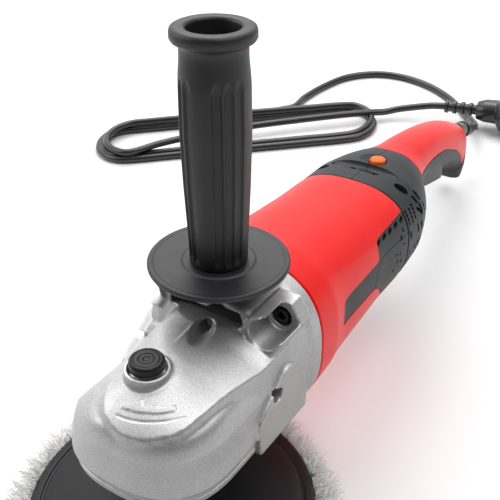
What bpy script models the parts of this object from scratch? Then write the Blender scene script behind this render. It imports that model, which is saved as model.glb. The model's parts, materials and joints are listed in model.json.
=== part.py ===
"""A corded rotary polisher with a wool bonnet, side handle, closed rear grip and mains lead.

Machine frame, in millimetres: the origin is where the spindle's axis meets the wool's face, +Y runs
along the body towards the tail and +Z runs up the spindle. The machine rests on the wool's rear edge
and on its tail, so everything is parented to an empty that leans back and sets it on the ground. The
lead lies on the ground, so its route is given in the world frame.
"""

import math
from collections import namedtuple

import bmesh
import bpy
from mathutils import Matrix, Vector
from mathutils.geometry import interpolate_bezier

MM = 0.001
GAP = 0.3            # clearance between neighbouring pieces
SEAM = 0.2           # half the clearance between the two shell halves

# driving dimensions
WOOL_R, WOOL_H, WOOL_FACE_R = 90.0, 20.0, 84.0
PAD_R, PAD_RIM_Z = 81.0, 28.0
HOOK_R, HOOK_T = 83.5, 1.6
NOSE_R = 47.0        # half width and nose radius of the gear case
CASE_Z = 82.3        # lower edge of the gear case around the spindle
MOTOR_Z = 103.0      # height of the armature's axis
MOTOR_Y0, MOTOR_Y1 = 77.0, 204.0
HANDLE_Y = 50.0
GUARD_R = 37.5
GUARD_Z = 159.0
GRIP_Z0, GRIP_Z1 = 162.3, 284.0
LOCK_Y = -12.0       # spindle lock button, on the centre line
BUTTON_Y = 239.0     # lock-on button
DIAL_Y, DIAL_R = 222.5, 12.5
TRIGGER_PIVOT = (0.0, 309.0, 98.5)
TAIL = (431.0, 48.0)             # y, z of the point of the tail that meets the ground
WALL = 2.6                       # wall of the plastic shells

# screws of the gear case, as (x, z) into the motor housing and (x, y) into the lower cover
CASE_SCREWS = [(x, MOTOR_Z + z) for x in (-36.5, 36.5) for z in (-33.5, 33.5)]
COVER_SCREWS = [(x, y) for x in (-37.5, 37.5) for y in (-23.0, 21.0)]

# bevel gears: the armature's pinion drives the spindle's ring gear
MODULE, PINION_TEETH, RING_TEETH = 1.6, 10, 40
PINION_R = MODULE * PINION_TEETH / 2
RING_R = MODULE * RING_TEETH / 2
INNER_SCALE = 0.72               # where the teeth end on the way to the cones' common tip
THINNING = 0.30                  # how much thinner than a half pitch each tooth is

CORD_R = 3.5
RELIEF_LENGTH = 41.0
LEAN = math.atan2(TAIL[1], TAIL[0] - WOOL_FACE_R)

Body = namedtuple("Body", "empty pivot")
Finish = namedtuple("Finish", "color roughness metallic")
Station = namedtuple("Station", "back front half_width power")

CAST = Finish((0.62, 0.62, 0.61), 0.45, 0.9)
STEEL = Finish((0.55, 0.55, 0.56), 0.3, 1.0)
DARK_STEEL = Finish((0.05, 0.05, 0.05), 0.4, 0.9)
COPPER = Finish((0.72, 0.36, 0.18), 0.35, 1.0)
BRASS = Finish((0.75, 0.58, 0.25), 0.3, 1.0)
CARBON = Finish((0.02, 0.02, 0.02), 0.7, 0.0)
RED = Finish((0.8, 0.03, 0.02), 0.35, 0.0)
GREY = Finish((0.06, 0.065, 0.07), 0.5, 0.0)
BLACK = Finish((0.015, 0.015, 0.017), 0.4, 0.0)
ORANGE = Finish((0.95, 0.25, 0.03), 0.35, 0.0)
BOARD = Finish((0.03, 0.2, 0.08), 0.5, 0.0)
HOOKS = Finish((0.75, 0.72, 0.35), 0.8, 0.0)
WOOL = Finish((0.9, 0.89, 0.86), 0.95, 0.0)


# ---------------------------------------------------------------- scene helpers

def clear_scene():
    for obj in list(bpy.data.objects):
        bpy.data.objects.remove(obj, do_unlink=True)


def add_empty(name, place, parent=None):
    empty = bpy.data.objects.new(name, None)
    bpy.context.collection.objects.link(empty)
    empty.location = Vector(place) * MM
    empty.parent = parent
    return empty


def add_body(name, pivot, machine):
    return Body(add_empty(name, pivot, machine), Vector(pivot))


def colour(obj, finish):
    material = bpy.data.materials.new(obj.name)
    material.use_nodes = True
    shader = material.node_tree.nodes["Principled BSDF"]
    shader.inputs["Base Color"].default_value = (*finish.color, 1.0)
    shader.inputs["Roughness"].default_value = finish.roughness
    shader.inputs["Metallic"].default_value = finish.metallic
    obj.data.materials.append(material)


def uneven(face):
    """True where a face's corners leave its plane by more than a tenth of a micrometre."""
    first = face.verts[0].co
    return len(face.verts) > 3 and any(abs((v.co - first).dot(face.normal)) > 1e-7 for v in face.verts)


def add_solid(name, verts, faces, body, finish=None):
    """One closed mesh from points in the machine frame; without a finish it is a guide for Booleans."""
    mesh = bpy.data.meshes.new(name)
    pivot = body.pivot if body else Vector((0, 0, 0))
    mesh.from_pydata([(Vector(v) - pivot) * MM for v in verts], [], faces)
    work = bmesh.new()
    work.from_mesh(mesh)
    bmesh.ops.recalc_face_normals(work, faces=work.faces)
    bmesh.ops.triangulate(work, faces=[face for face in work.faces if uneven(face)])
    bmesh.ops.dissolve_limit(work, angle_limit=math.radians(0.05), verts=work.verts, edges=work.edges)
    work.to_mesh(mesh)
    work.free()
    mesh.shade_smooth()
    mesh.set_sharp_from_angle(angle=math.radians(35))
    obj = bpy.data.objects.new(name, mesh)
    bpy.context.collection.objects.link(obj)
    obj.parent = body.empty if body else None
    if finish:
        colour(obj, finish)
    else:
        obj.hide_render = True
        obj.display_type = "WIRE"
    return obj


def combine(obj, others, operation):
    """One exact Boolean of obj with a group of guides."""
    group = bpy.data.collections.new(f"{obj.name}_{operation.lower()}")
    for other in others:
        group.objects.link(other)
    step = obj.modifiers.new(group.name, "BOOLEAN")
    step.operation = operation
    step.solver = "EXACT"
    step.operand_type = "COLLECTION"
    step.collection = group


# ---------------------------------------------------------------- shape helpers

def spread(first, last, count):
    return [first + (last - first) * i / (count - 1) for i in range(count)]


def ring_faces(ring_count, points, wrap):
    """Quads between successive rings; rings either wrap round to the first or end in two caps."""
    faces = []
    for k in range(ring_count if wrap else ring_count - 1):
        low, high = k * points, ((k + 1) % ring_count) * points
        for i in range(points):
            j = (i + 1) % points
            faces.append((low + i, low + j, high + j, high + i))
    if not wrap:
        faces.append(tuple(range(points)))
        faces.append(tuple(range((ring_count - 1) * points, ring_count * points)))
    return faces


def loft(name, rings, body, finish=None, wrap=False):
    verts = [point for ring in rings for point in ring]
    return add_solid(name, verts, ring_faces(len(rings), len(rings[0]), wrap), body, finish)


def turned(name, profile, segments, body, finish=None, place=None, closed=False):
    """Solid of revolution of (radius, height) points about the local Z axis of place."""
    place = place or Matrix.Identity(4)
    verts, rows = [], []
    for radius, height in profile:
        angles = [0.0] if radius == 0 else [2 * math.pi * i / segments for i in range(segments)]
        rows.append(range(len(verts), len(verts) + len(angles)))
        verts += [place @ Vector((radius * math.cos(a), radius * math.sin(a), height)) for a in angles]
    faces = []
    pairs = list(zip(rows, rows[1:])) + ([(rows[-1], rows[0])] if closed else [])
    for low, high in pairs:
        for i in range(segments):
            j = (i + 1) % segments
            corners = [low[i % len(low)], low[j % len(low)], high[j % len(high)], high[i % len(high)]]
            face = list(dict.fromkeys(corners))
            if len(face) > 2:
                faces.append(tuple(face))
    return add_solid(name, verts, faces, body, finish)


def cylinder(name, radius, low, high, body, finish=None, place=None, segments=24):
    profile = [(0, low), (radius, low), (radius, high), (0, high)]
    return turned(name, profile, segments, body, finish, place)


def box(name, low, high, body, finish=None):
    rings = [[(x, low[1], low[2]), (x, high[1], low[2]), (x, high[1], high[2]), (x, low[1], high[2])]
             for x in (low[0], high[0])]
    return loft(name, rings, body, finish)


def prism(name, outline, low, high, body, finish=None, axis="z"):
    """Extrusion of a closed outline of (a, b) points: (x, y) along z, or (y, z) along x."""
    if axis == "z":
        rings = [[(a, b, level) for a, b in outline] for level in (low, high)]
    else:
        rings = [[(level, a, b) for a, b in outline] for level in (low, high)]
    return loft(name, rings, body, finish)


def at(x, y, z, toward=(0, 0, 1)):
    """Placement with its local Z along toward."""
    return Matrix.Translation((x, y, z)) @ Vector(toward).to_track_quat("Z", "Y").to_matrix().to_4x4()


def along_motor(x=0.0, z=MOTOR_Z):
    """Placement whose local Z runs along +Y, with heights read as y."""
    return at(x, 0, z, (0, 1, 0))


def signed_power(value, power):
    return math.copysign(abs(value) ** power, value)


def section_point(station, angle, inset=0.0):
    """Point of a superellipse section: 90 degrees is the back's ridge, 0 the right side, -90 the belly."""
    back, front = Vector(station.back), Vector(station.front)
    middle, reach = (back + front) / 2, (back - front).length / 2 - inset
    rise = (back - front).normalized()
    width = station.half_width - inset
    a = math.radians(angle)
    x = width * signed_power(math.cos(a), 2 / station.power)
    t = reach * signed_power(math.sin(a), 2 / station.power)
    return (x, middle.x + rise.x * t, middle.y + rise.y * t)


def angle_at(station, x, inset=0.0):
    """Angle at which the section's upper half stands x away from the middle plane."""
    return math.degrees(math.acos((x / (station.half_width - inset)) ** (station.power / 2)))


def full_ring(station, inset, count=36):
    return [section_point(station, 360 * i / count, inset) for i in range(count)]


def helix(name, radius, wire, low, high, turns, body, finish, place):
    """Closed coil spring about the local Z axis of place."""
    steps, sides = turns * 8, 4
    rings = []
    for k in range(steps + 1):
        turn = 2 * math.pi * k / 8
        level = low + wire + (high - low - 2 * wire) * k / steps
        ring = []
        for i in range(sides):
            a = 2 * math.pi * i / sides
            r = radius + wire * math.cos(a)
            ring.append(place @ Vector((r * math.cos(turn), r * math.sin(turn), level + wire * math.sin(a))))
        rings.append(ring)
    return loft(name, rings, body, finish)


def socket_screw(name, place, head_r, head_h, shank_r, length, body):
    """Cap screw: local Z runs from the head's top down the shank; the head has a hollow socket."""
    profile = [(0, 1.6), (head_r * 0.5, 1.6), (head_r * 0.5, 0), (head_r, 0), (head_r, head_h),
               (shank_r, head_h), (shank_r, length), (0, length)]
    return turned(name, profile, 10, body, DARK_STEEL, place)


# ---------------------------------------------------------------- gear head

def case_outline(half_width, rear, nose=NOSE_R, count=17):
    """Plan of the gear case: half a circle about the spindle, then straight flanks to the rear."""
    arc = [(nose * math.cos(math.radians(a)), nose * math.sin(math.radians(a)))
           for a in spread(180, 360, count)]
    return arc + [(half_width, rear), (-half_width, rear)]


def crown_height(x, y):
    """Height of the cast case's top: rises from the nose to the exhaust slot and falls to the sides."""
    rise = 116 + 14 * min(1.0, max(0.0, (y + 40) / 40)) + 3 * max(0.0, y) / 36
    return rise - 5.5 * (x / 34) ** 2


def gear_case(root):
    outline = case_outline(NOSE_R, 60.0)
    shoulder = case_outline(NOSE_R - 1.5, 59.0, NOSE_R - 1.5)
    foot = case_outline(NOSE_R - 8, 58.0, NOSE_R - 9)
    crown = case_outline(33.0, 57.0, NOSE_R - 11)
    rings = [[(x, y, CASE_Z) for x, y in outline],
             [(x, y, 102.0) for x, y in outline],
             [(x, y, 105.0) for x, y in shoulder],
             [(x, y, 108.5) for x, y in foot],
             [(x, y, crown_height(x, y) - 2.0) for x, y in crown],
             [(x * 0.93, y * 0.93, crown_height(x, y)) for x, y in crown],
             [(x * 0.5, y * 0.5, crown_height(x * 0.5, y * 0.5)) for x, y in crown]]
    case = loft("gear_case", rings, root, CAST)
    throat = [Station((36.5, 146.5), (36.5, 86.0), 33.0, 3.0),
              Station((54.5, 148.5), (54.5, 57.0), 47.3, 2.8),
              Station((MOTOR_Y0 - GAP, 152.0), (MOTOR_Y0 - GAP, 54.0), 50.0, 2.5)]
    flank = [(-NOSE_R + 0.1, 26.3), (NOSE_R - 0.1, 26.3), (NOSE_R - 0.1, 70.0), (-NOSE_R + 0.1, 70.0)]
    added = [loft("case_throat", [full_ring(s, 0) for s in throat], root),
             prism("case_flank", flank, 71.0, 90.0, root),
             cylinder("case_lock_boss", 12.3, 118.0, 132.6, root, place=at(0, LOCK_Y, 0)),
             cylinder("case_handle_boss", 15.0, 142.0, GUARD_Z - GAP, root, place=at(0, HANDLE_Y, 0))]
    combine(case, added, "UNION")
    cut = [cylinder("case_gear_chamber", 41.0, 60.0, 100.5, root, segments=32),
           box("case_pinion_pocket", (-15, -8.6, 99), (15, 44, 116.5), root),
           cylinder("case_bearing_seat", 15.3, 39.7, 58.3, root, place=along_motor()),
           cylinder("case_fan_chamber", 41.5, 57.2, 90.0, root, place=along_motor(), segments=32),
           box("case_exhaust_slot", (-20, 28, 134.5), (20, 61, 141.0), root),
           cylinder("case_pin_hole", 2.5, 90.0, 129.0, root, place=at(0, LOCK_Y, 0), segments=12),
           cylinder("case_lock_recess", 9.6, 127.2, 140.0, root, place=at(0, LOCK_Y, 0)),
           cylinder("case_stud_hole", 4.4, 145.0, 170.0, root, place=at(0, HANDLE_Y, 0), segments=16)]
    for side in (-1, 1):
        place = at(side * 60, 35, 101, (-side, 0, 0))
        cut.append(cylinder(f"case_handle_hole_{side}", 4.4, 0, 24, root, place=place, segments=16))
    for k, (x, z) in enumerate(CASE_SCREWS):
        place = along_motor(x, z)
        cut.append(cylinder(f"case_screw_pocket_{k}", 6.0, 20, 60, root, place=place, segments=12))
        cut.append(cylinder(f"case_screw_hole_{k}", 2.4, 50, 90, root, place=place, segments=10))
    for k, (x, y) in enumerate(COVER_SCREWS):
        cut.append(cylinder(f"case_cover_hole_{k}", 2.2, 70, 93, root, place=at(x, y, 0), segments=8))
    combine(case, cut, "DIFFERENCE")
    return case


def gear_case_cover(root):
    outline = case_outline(NOSE_R - 0.4, 26.0, NOSE_R - 0.4)
    cover = prism("gear_case_cover", outline, 74.0, CASE_Z - GAP, root, CAST)
    combine(cover, [cylinder("cover_hub", 24.5, 69.5, 80.0, root, segments=32)], "UNION")
    cut = [cylinder("cover_bearing_seat", 20.3, 72.0, 90.0, root, segments=32),
           cylinder("cover_shaft_hole", 12.0, 60.0, 80.0, root)]
    for k, (x, y) in enumerate(COVER_SCREWS):
        cut.append(cylinder(f"cover_screw_hole_{k}", 2.3, 60, 90, root, place=at(x, y, 0), segments=8))
    combine(cover, cut, "DIFFERENCE")


def bearing(name, bore, outer, low, high, body, place=None):
    """Deep-groove bearing drawn as one ring with chamfered edges."""
    profile = [(bore, low), (outer - 0.6, low), (outer, low + 0.6), (outer, high - 0.6),
               (outer - 0.6, high), (bore, high)]
    turned(name, profile, 16, body, STEEL, place, closed=True)


def gear_head_fixed(root):
    gear_case(root)
    gear_case_cover(root)
    bearing("spindle_bearing", 8.35, 20.0, 72.3, 84.0, root)
    profile = [(0, 112.0), (5.85, 112.0), (5.85, 97.0), (8.2, 97.0), (8.2, 116.2), (0, 116.2)]
    turned("spindle_upper_bush", profile, 16, root, BRASS)
    bearing("armature_front_bearing", 5.35, 15.0, 44.0, 55.0, root, along_motor())
    for k, (x, z) in enumerate(CASE_SCREWS):
        socket_screw(f"case_screw_{k + 1}", at(x, 54.0, z, (0, 1, 0)), 4.2, 5.7, 2.1, 34.0, root)
    for k, (x, y) in enumerate(COVER_SCREWS):
        socket_screw(f"cover_screw_{k + 1}", at(x, y, 70.2), 3.6, 3.5, 1.9, 18.0, root)


def lock_button(body):
    """Spindle lock: a round button on a pin that drops into a hole of the ring gear."""
    profile = [(0, 95.2), (2.2, 95.2), (2.2, 131.2), (9.0, 131.2), (9.0, 134.6), (8.2, 135.6),
               (2.4, 135.6), (1.2, 134.9), (0, 134.9)]
    turned("spindle_lock_button", profile, 24, body, BLACK, at(0, LOCK_Y, 0))


# ---------------------------------------------------------------- gears

def involute(angle):
    return math.tan(angle) - angle


def pinion_section():
    """(radius, angle) points of the pinion at its big end, tooth by tooth."""
    base = PINION_R * math.cos(math.radians(20))
    tip, root = PINION_R + 0.8 * MODULE, PINION_R - 0.95 * MODULE
    thickness = math.pi * MODULE / 2 - THINNING
    at_pitch = thickness / (2 * PINION_R) + involute(math.radians(20))
    flank = []
    for radius in (root, base, PINION_R, tip):
        slope = 0.0 if radius <= base else math.acos(base / radius)
        flank.append((radius, at_pitch - involute(slope)))
    points = []
    for k in range(PINION_TEETH):
        middle = 2 * math.pi * k / PINION_TEETH
        points += [(radius, middle - half) for radius, half in flank]
        points += [(radius, middle + half) for radius, half in reversed(flank)]
    return points


def drive_pinion(body):
    """Bevel pinion whose teeth shrink towards the point where the two axes cross."""
    section = pinion_section()

    def ring(y, radius=None, scale=1.0):
        # angle 0 is a tooth that points down into the ring gear
        return [((radius or r * scale) * math.sin(a), y, MOTOR_Z - (radius or r * scale) * math.cos(a))
                for r, a in section]

    rings = [ring(RING_R * INNER_SCALE, scale=INNER_SCALE), ring(RING_R),
             ring(RING_R + 0.01, radius=6.2), ring(41.0, radius=6.2), ring(41.0, radius=4.3),
             ring(34.0, radius=4.3)]
    loft("drive_pinion", rings, body, STEEL)


def ring_gear(body):
    """Crown wheel with its teeth up, bolted ring and web in one, with twelve lock holes."""
    pitch_z = MOTOR_Z - PINION_R
    tip_z, root_z = pitch_z + 0.55 * MODULE, pitch_z - 1.15 * MODULE
    slope = math.tan(math.radians(20))
    half = (math.pi * MODULE / 2 - THINNING) / 2
    tooth = [(root_z, -half - (pitch_z - root_z) * slope), (tip_z, -half + (tip_z - pitch_z) * slope),
             (tip_z, half - (tip_z - pitch_z) * slope), (root_z, half + (pitch_z - root_z) * slope)]
    spots = []
    for k in range(RING_TEETH):
        # a gap between two teeth faces the pinion, which stands towards +Y
        middle = math.radians(90) + 2 * math.pi * (k + 0.5) / RING_TEETH
        spots += [(z, middle + offset / RING_R) for z, offset in tooth]

    def toothed(scale):
        return [(RING_R * scale * math.cos(a), RING_R * scale * math.sin(a), MOTOR_Z + (z - MOTOR_Z) * scale)
                for z, a in spots]

    def plain(radius, z):
        return [(radius * math.cos(a), radius * math.sin(a), z) for _, a in spots]

    rings = [plain(RING_R, 88.8), toothed(1.0), toothed(INNER_SCALE), plain(22.2, 94.0), plain(7.35, 94.0),
             plain(7.35, 88.8)]
    gear = loft("ring_gear", rings, body, STEEL, wrap=True)
    holes = []
    for k in range(12):
        a = math.radians(30 * k)
        place = at(-LOCK_Y * math.sin(a), LOCK_Y * math.cos(a), 0)
        holes.append(cylinder(f"ring_gear_hole_{k}", 2.6, 80, 100, body, place=place, segments=6))
    combine(gear, holes, "DIFFERENCE")


def spindle(body):
    profile = [(0, 27.0), (6.7, 27.0), (6.7, 51.5), (11.0, 51.5), (11.0, 56.0), (8.0, 57.0),
               (8.0, 84.6), (10.0, 84.6), (10.0, 88.4), (7.0, 88.4), (7.0, 94.5), (5.5, 95.5),
               (5.5, 111.0), (0, 111.0)]
    turned("spindle_shaft", profile, 24, body, STEEL)
    ring_gear(body)


def pad(body):
    profile = [(0, 22.4), (PAD_R - 1, 22.4), (PAD_R, 23.6), (PAD_R, 26.6),
               (PAD_R - 1.6, PAD_RIM_Z), (68.0, 29.5), (30.0, 33.5), (19.0, 37.0), (17.0, 50.5),
               (7.1, 50.5), (7.1, 26.6), (0, 26.6)]
    turned("backing_plate", profile, 36, body, BLACK)
    cylinder("hook_layer", HOOK_R, WOOL_H + GAP, WOOL_H + GAP + HOOK_T, body, HOOKS, segments=40)
    profile = [(0, 0), (WOOL_FACE_R, 0), (WOOL_R - 2, 4.0), (WOOL_R, 10.0), (WOOL_R - 1, 15.0),
               (WOOL_R - 5, WOOL_H), (0, WOOL_H)]
    turned("wool_bonnet", profile, 36, body, WOOL)


# ---------------------------------------------------------------- motor

def motor_station(y):
    """Section of the motor housing, which tapers evenly towards the rear."""
    share = (y - MOTOR_Y0) / (MOTOR_Y1 - MOTOR_Y0)
    return Station((y, 152.0 - 10.0 * share), (y, 54.0 + 10.0 * share), 50.0 - 4.0 * share, 2.5)


def motor_housing(root):
    stations = [motor_station(y) for y in (MOTOR_Y0, 140.0, MOTOR_Y1)]
    rings = [full_ring(s, 0) for s in stations] + [full_ring(s, WALL) for s in reversed(stations)]
    housing = loft("motor_housing", rings, root, RED, wrap=True)
    bosses, holes = [], []
    for k, (x, z) in enumerate(CASE_SCREWS):
        place = along_motor(x, z)
        bosses.append(cylinder(f"motor_boss_{k}", 5.2, MOTOR_Y0 + 0.5, 94.0, root, place=place, segments=12))
        holes.append(cylinder(f"motor_boss_hole_{k}", 2.4, 60.0, 90.0, root, place=place, segments=10))
    combine(housing, bosses, "UNION")
    combine(housing, holes, "DIFFERENCE")


def side_plate(name, side, root):
    """Thin plain plate on the side of the motor housing, with a tongue that reaches forward."""
    rings = []
    for y, low, high in ((108.6, -2.0, 4.5), (110.5, -2.5, 12.7), (157.0, -5.0, 13.6), (160.0, -12.0, 14.5),
                         (161.5, -14.0, 33.0), (188.0, -24.0, 36.0), (203.7, -24.0, 37.0)):
        station = motor_station(y)
        outer = [section_point(station, a, -1.4) for a in spread(low, high, 6)]
        inner = [section_point(station, a, -0.4) for a in spread(high, low, 6)]
        rings.append([(side * x, y0, z) for x, y0, z in outer + inner])
    loft(name, rings, root, GREY)


def stack_radius(angle):
    """Inside of the field laminations: two pole faces above and below, two winding slots at the sides."""
    return 25.6 if abs(math.sin(angle)) > math.sin(math.radians(40)) else 36.0


def field_stack(root):
    angles = [math.radians(7.5 * k) for k in range(48)]
    rings = []
    for y, hollow in ((96.0, False), (144.0, False), (144.0, True), (96.0, True)):
        radii = [stack_radius(a) if hollow else 41.0 for a in angles]
        rings.append([(r * math.cos(a), y, MOTOR_Z + r * math.sin(a)) for a, r in zip(angles, radii)])
    loft("field_stack", rings, root, DARK_STEEL, wrap=True)


def field_coil(name, sign, root):
    """Saddle coil round one pole: two runs in the slots, joined by arcs outside the stack."""
    spots = [(28.0, 98.0), (28.0, 142.0)]
    spots += [(a, 149.5) for a in spread(38.0, 142.0, 7)]
    spots += [(152.0, 142.0), (152.0, 98.0)]
    spots += [(a, 90.5) for a in spread(142.0, 38.0, 7)]
    rings = []
    for k, (angle, y) in enumerate(spots):
        before, after = spots[k - 1], spots[(k + 1) % len(spots)]
        run = Vector((math.radians(after[0] - before[0]) * 31.0, after[1] - before[1])).normalized()
        a = math.radians(angle)
        radial = Vector((math.cos(a), 0, sign * math.sin(a)))
        around = Vector((-math.sin(a), 0, sign * math.cos(a)))
        across = around * -run.y + Vector((0, 1, 0)) * run.x
        centre = radial * 31.3 + Vector((0, y, MOTOR_Z))
        rings.append([centre + radial * (dr * 3.6) + across * (da * 3.4)
                      for dr, da in ((-1, -1), (1, -1), (1, 1), (-1, 1))])
    loft(name, rings, root, COPPER, wrap=True)


def brush_set(side, root):
    tag = "right" if side > 0 else "left"
    rings = []
    for half_y, half_z, xs in ((6.2, 7.2, (14.5, 36.0)), (4.3, 5.3, (36.0, 14.5))):
        for x in xs:
            rings.append([(side * x, 172 + half_y * p, MOTOR_Z + half_z * q)
                          for p, q in ((-1, -1), (1, -1), (1, 1), (-1, 1))])
    loft(f"brush_holder_{tag}", rings, root, BRASS, wrap=True)
    box(f"carbon_brush_{tag}", (min(side * 12.6, side * 27), 168.0, MOTOR_Z - 5.0),
        (max(side * 12.6, side * 27), 176.0, MOTOR_Z + 5.0), root, CARBON)


def motor_fixed(root):
    motor_housing(root)
    side_plate("side_plate_right", 1, root)
    side_plate("side_plate_left", -1, root)
    field_stack(root)
    field_coil("field_coil_upper", 1, root)
    field_coil("field_coil_lower", -1, root)
    for side in (-1, 1):
        brush_set(side, root)
    bearing("armature_rear_bearing", 5.35, 11.0, 189.0, 198.0, root, along_motor())
    profile = [(11.3, 188.0), (14.5, 188.0), (14.5, 194.0), (35.5, 194.0), (35.5, 198.0), (11.3, 198.0)]
    turned("bearing_bracket", profile, 24, root, GREY, along_motor(), closed=True)


def armature(body):
    profile = [(0, 34.5), (4.0, 34.5), (4.0, 41.4), (5.0, 41.6), (5.0, 199.0), (0, 199.0)]
    turned("armature_shaft", profile, 20, body, STEEL, along_motor())
    turned("armature_core", [(5.3, 97.0), (24.8, 97.0), (24.8, 143.0), (5.3, 143.0)], 32, body, DARK_STEEL,
           along_motor(), closed=True)
    for name, low, high in (("armature_winding_front", 83.0, 96.7), ("armature_winding_rear", 143.3, 157.0)):
        middle = (low + high) / 2
        profile = [(5.3, low), (15.0, low), (21.5, middle), (15.0, high), (5.3, high)]
        turned(name, profile, 24, body, COPPER, along_motor(), closed=True)
    turned("commutator", [(5.3, 160.0), (12.2, 160.0), (12.2, 184.0), (5.3, 184.0)], 24, body, COPPER,
           along_motor(), closed=True)
    fan(body)
    drive_pinion(body)


def fan(body):
    """Cooling fan: twelve straight blades in front of a disc."""
    blades, angles, radii = 12, [], []
    for k in range(blades):
        for offset, radius in ((-4, 16.0), (-4, 38.0), (4, 38.0), (4, 16.0)):
            angles.append(math.radians(360 * k / blades + offset * (16.0 / radius)))
            radii.append(radius)

    def ring(y, radius=None):
        return [((radius or r) * math.cos(a), y, MOTOR_Z + (radius or r) * math.sin(a))
                for a, r in zip(angles, radii)]

    rings = [ring(61.0, 5.4), ring(61.0), ring(71.0), ring(71.01, 38.2), ring(73.0, 38.2), ring(73.0, 5.4)]
    loft("cooling_fan", rings, body, GREY, wrap=True)


# ---------------------------------------------------------------- rear housing and grip

def rear_stations():
    """Sections from the motor housing back along the grip and down the tail hook, with their wall."""
    rows = [((204.3, 142.0), (204.3, 64.0), 46.0, 2.5, WALL),
            ((218.0, 142.2), (218.0, 65.5), 45.5, 2.5, WALL),
            ((226.5, 142.4), (226.5, 66.5), 45.0, 2.5, WALL),
            ((231.5, 142.5), (231.5, 67.5), 44.4, 2.5, WALL),
            ((246.5, 142.5), (248.0, 71.0), 40.5, 2.5, WALL),
            ((258.0, 142.3), (262.0, 78.0), 34.5, 2.5, WALL),
            ((264.6, 142.1), (272.0, 84.0), 30.0, 2.5, WALL),
            ((266.0, 142.0), (274.0, 85.5), 29.0, 2.5, WALL),
            ((280.0, 141.8), (289.0, 94.5), 22.8, 2.5, WALL),
            ((300.0, 141.0), (303.0, 98.5), 20.0, 2.4, WALL),
            ((325.0, 137.5), (325.0, 95.5), 19.0, 2.4, WALL),
            ((350.0, 132.0), (346.0, 91.5), 18.5, 2.4, WALL),
            ((374.0, 125.0), (368.0, 86.0), 18.0, 2.4, WALL),
            ((400.0, 114.5), (386.0, 78.5), 17.5, 2.4, WALL),
            ((416.0, 107.5), (398.0, 69.0), 17.0, 2.4, 8.0),
            ((426.0, 93.0), (405.0, 59.5), 16.4, 2.4, 13.0),
            ((433.0, 70.0), (410.0, 52.0), 15.0, 2.4, 11.5),
            ((TAIL[0], TAIL[1]), (414.5, 46.8), 12.5, 2.6, 7.5)]
    return [(Station(*row[:4]), row[4]) for row in rows]


FIRST_GRIP, LAST_COVER = 7, 15        # stations where the red cover starts and ends
COVER_EDGE = {7: -2.0, 8: -4.0, 9: 3.0, 10: 10.0, 11: 2.0, 12: -12.0, 13: -20.0, 14: -24.0, 15: -24.0}
COVER_WALL = {14: 5.0, 15: 12.5}      # the cover thickens to close its own end


def shell_edges(index, station, inset):
    """Upper and lower angles of a shell half's section, with its openings on the centre line."""
    upper_x = {1: 10.6, 2: 10.6, 3: 6.4, 4: 6.4}.get(index, SEAM)
    lower_x = 9.6 if 9 <= index <= 12 else SEAM
    upper = COVER_EDGE[min(index, LAST_COVER)] if index >= FIRST_GRIP else angle_at(station, upper_x, inset)
    if index > LAST_COVER:
        upper = angle_at(station, SEAM, inset)
    return upper, -angle_at(station, lower_x, inset)


def rear_half(name, side, root):
    rings = []
    for index, (station, wall) in enumerate(rear_stations()):
        ring = []
        for inset, forward in ((0.0, True), (wall, False)):
            upper, lower = shell_edges(index, station, inset)
            angles = spread(upper, lower, 11)
            ring += [section_point(station, a, inset) for a in (angles if forward else reversed(angles))]
        rings.append([(side * max(x, SEAM), y, z) for x, y, z in ring])
    loft(name, rings, root, GREY)


def grip_cover(root):
    stations = rear_stations()
    rings = []
    for index in range(FIRST_GRIP, LAST_COVER + 1):
        station = stations[index][0]
        start, wall = COVER_EDGE[index] + 1.2, COVER_WALL.get(index, WALL)
        outer = [section_point(station, a, 0.0) for a in spread(start, 180 - start, 15)]
        inner = [section_point(station, a, wall) for a in spread(180 - start, start, 15)]
        rings.append(outer + inner)
    cover = loft("grip_cover", rings, root, RED)
    hole = cylinder("grip_cover_cord_hole", 6.6, -20.0, 20.0, root, place=relief_place(), segments=16)
    screw = cylinder("grip_cover_screw_recess", 3.6, -8.0, 8.0, root, place=at(0, 388, 120, (0, 0.4, 1)),
                     segments=12)
    combine(cover, [hole, screw], "DIFFERENCE")


def relief_place():
    """Where the lead leaves the tail: back and a little down."""
    return at(0, 415, 100.0, (0, math.cos(math.radians(18)), -math.sin(math.radians(18))))


def trigger(body):
    outline = [(304.0, 96.0), (313.0, 88.5), (335.0, 82.5), (358.0, 77.5), (366.0, 76.0), (367.5, 79.0),
               (366.5, 92.5), (350.0, 97.0), (325.0, 101.5), (312.0, 103.0), (305.0, 101.5)]
    lever = prism("trigger", outline, -8.6, 8.6, body, BLACK, axis="x")
    hole = cylinder("trigger_pin_hole", 2.3, -20, 20, body, segments=10,
                    place=at(*TRIGGER_PIVOT, (1, 0, 0)))
    combine(lever, [hole], "DIFFERENCE")


def rear_fixed(root):
    rear_half("rear_housing_right", 1, root)
    rear_half("rear_housing_left", -1, root)
    grip_cover(root)
    cylinder("trigger_pin", 1.9, -9.2, 9.2, root, STEEL, at(*TRIGGER_PIVOT, (1, 0, 0)), segments=10)
    box("switch_body", (-9.0, 310.0, 111.5), (9.0, 345.0, 128.0), root, BLACK)
    box("speed_board", (-24.0, 209.0, 104.0), (24.0, 256.0, 106.0), root, BOARD)
    box("cord_clamp", (-9.0, 384.0, 95.0), (9.0, 392.0, 103.0), root, BLACK)
    profile = [(CORD_R + 0.3, 0.0), (6.2, 0.0), (6.2, 16.5), (7.6, 16.8)]
    for k in range(4):
        low = 16.8 + 5.4 * k
        rib = 7.6 - 0.5 * k
        profile += [(rib, low + 2.8), (rib - 1.4, low + 3.0), (rib - 1.5, low + 5.2), (rib - 0.5, low + 5.4)]
    profile += [(5.2, RELIEF_LENGTH), (CORD_R + 0.3, RELIEF_LENGTH)]
    turned("cord_relief", profile, 12, root, BLACK, relief_place(), closed=True)


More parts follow.
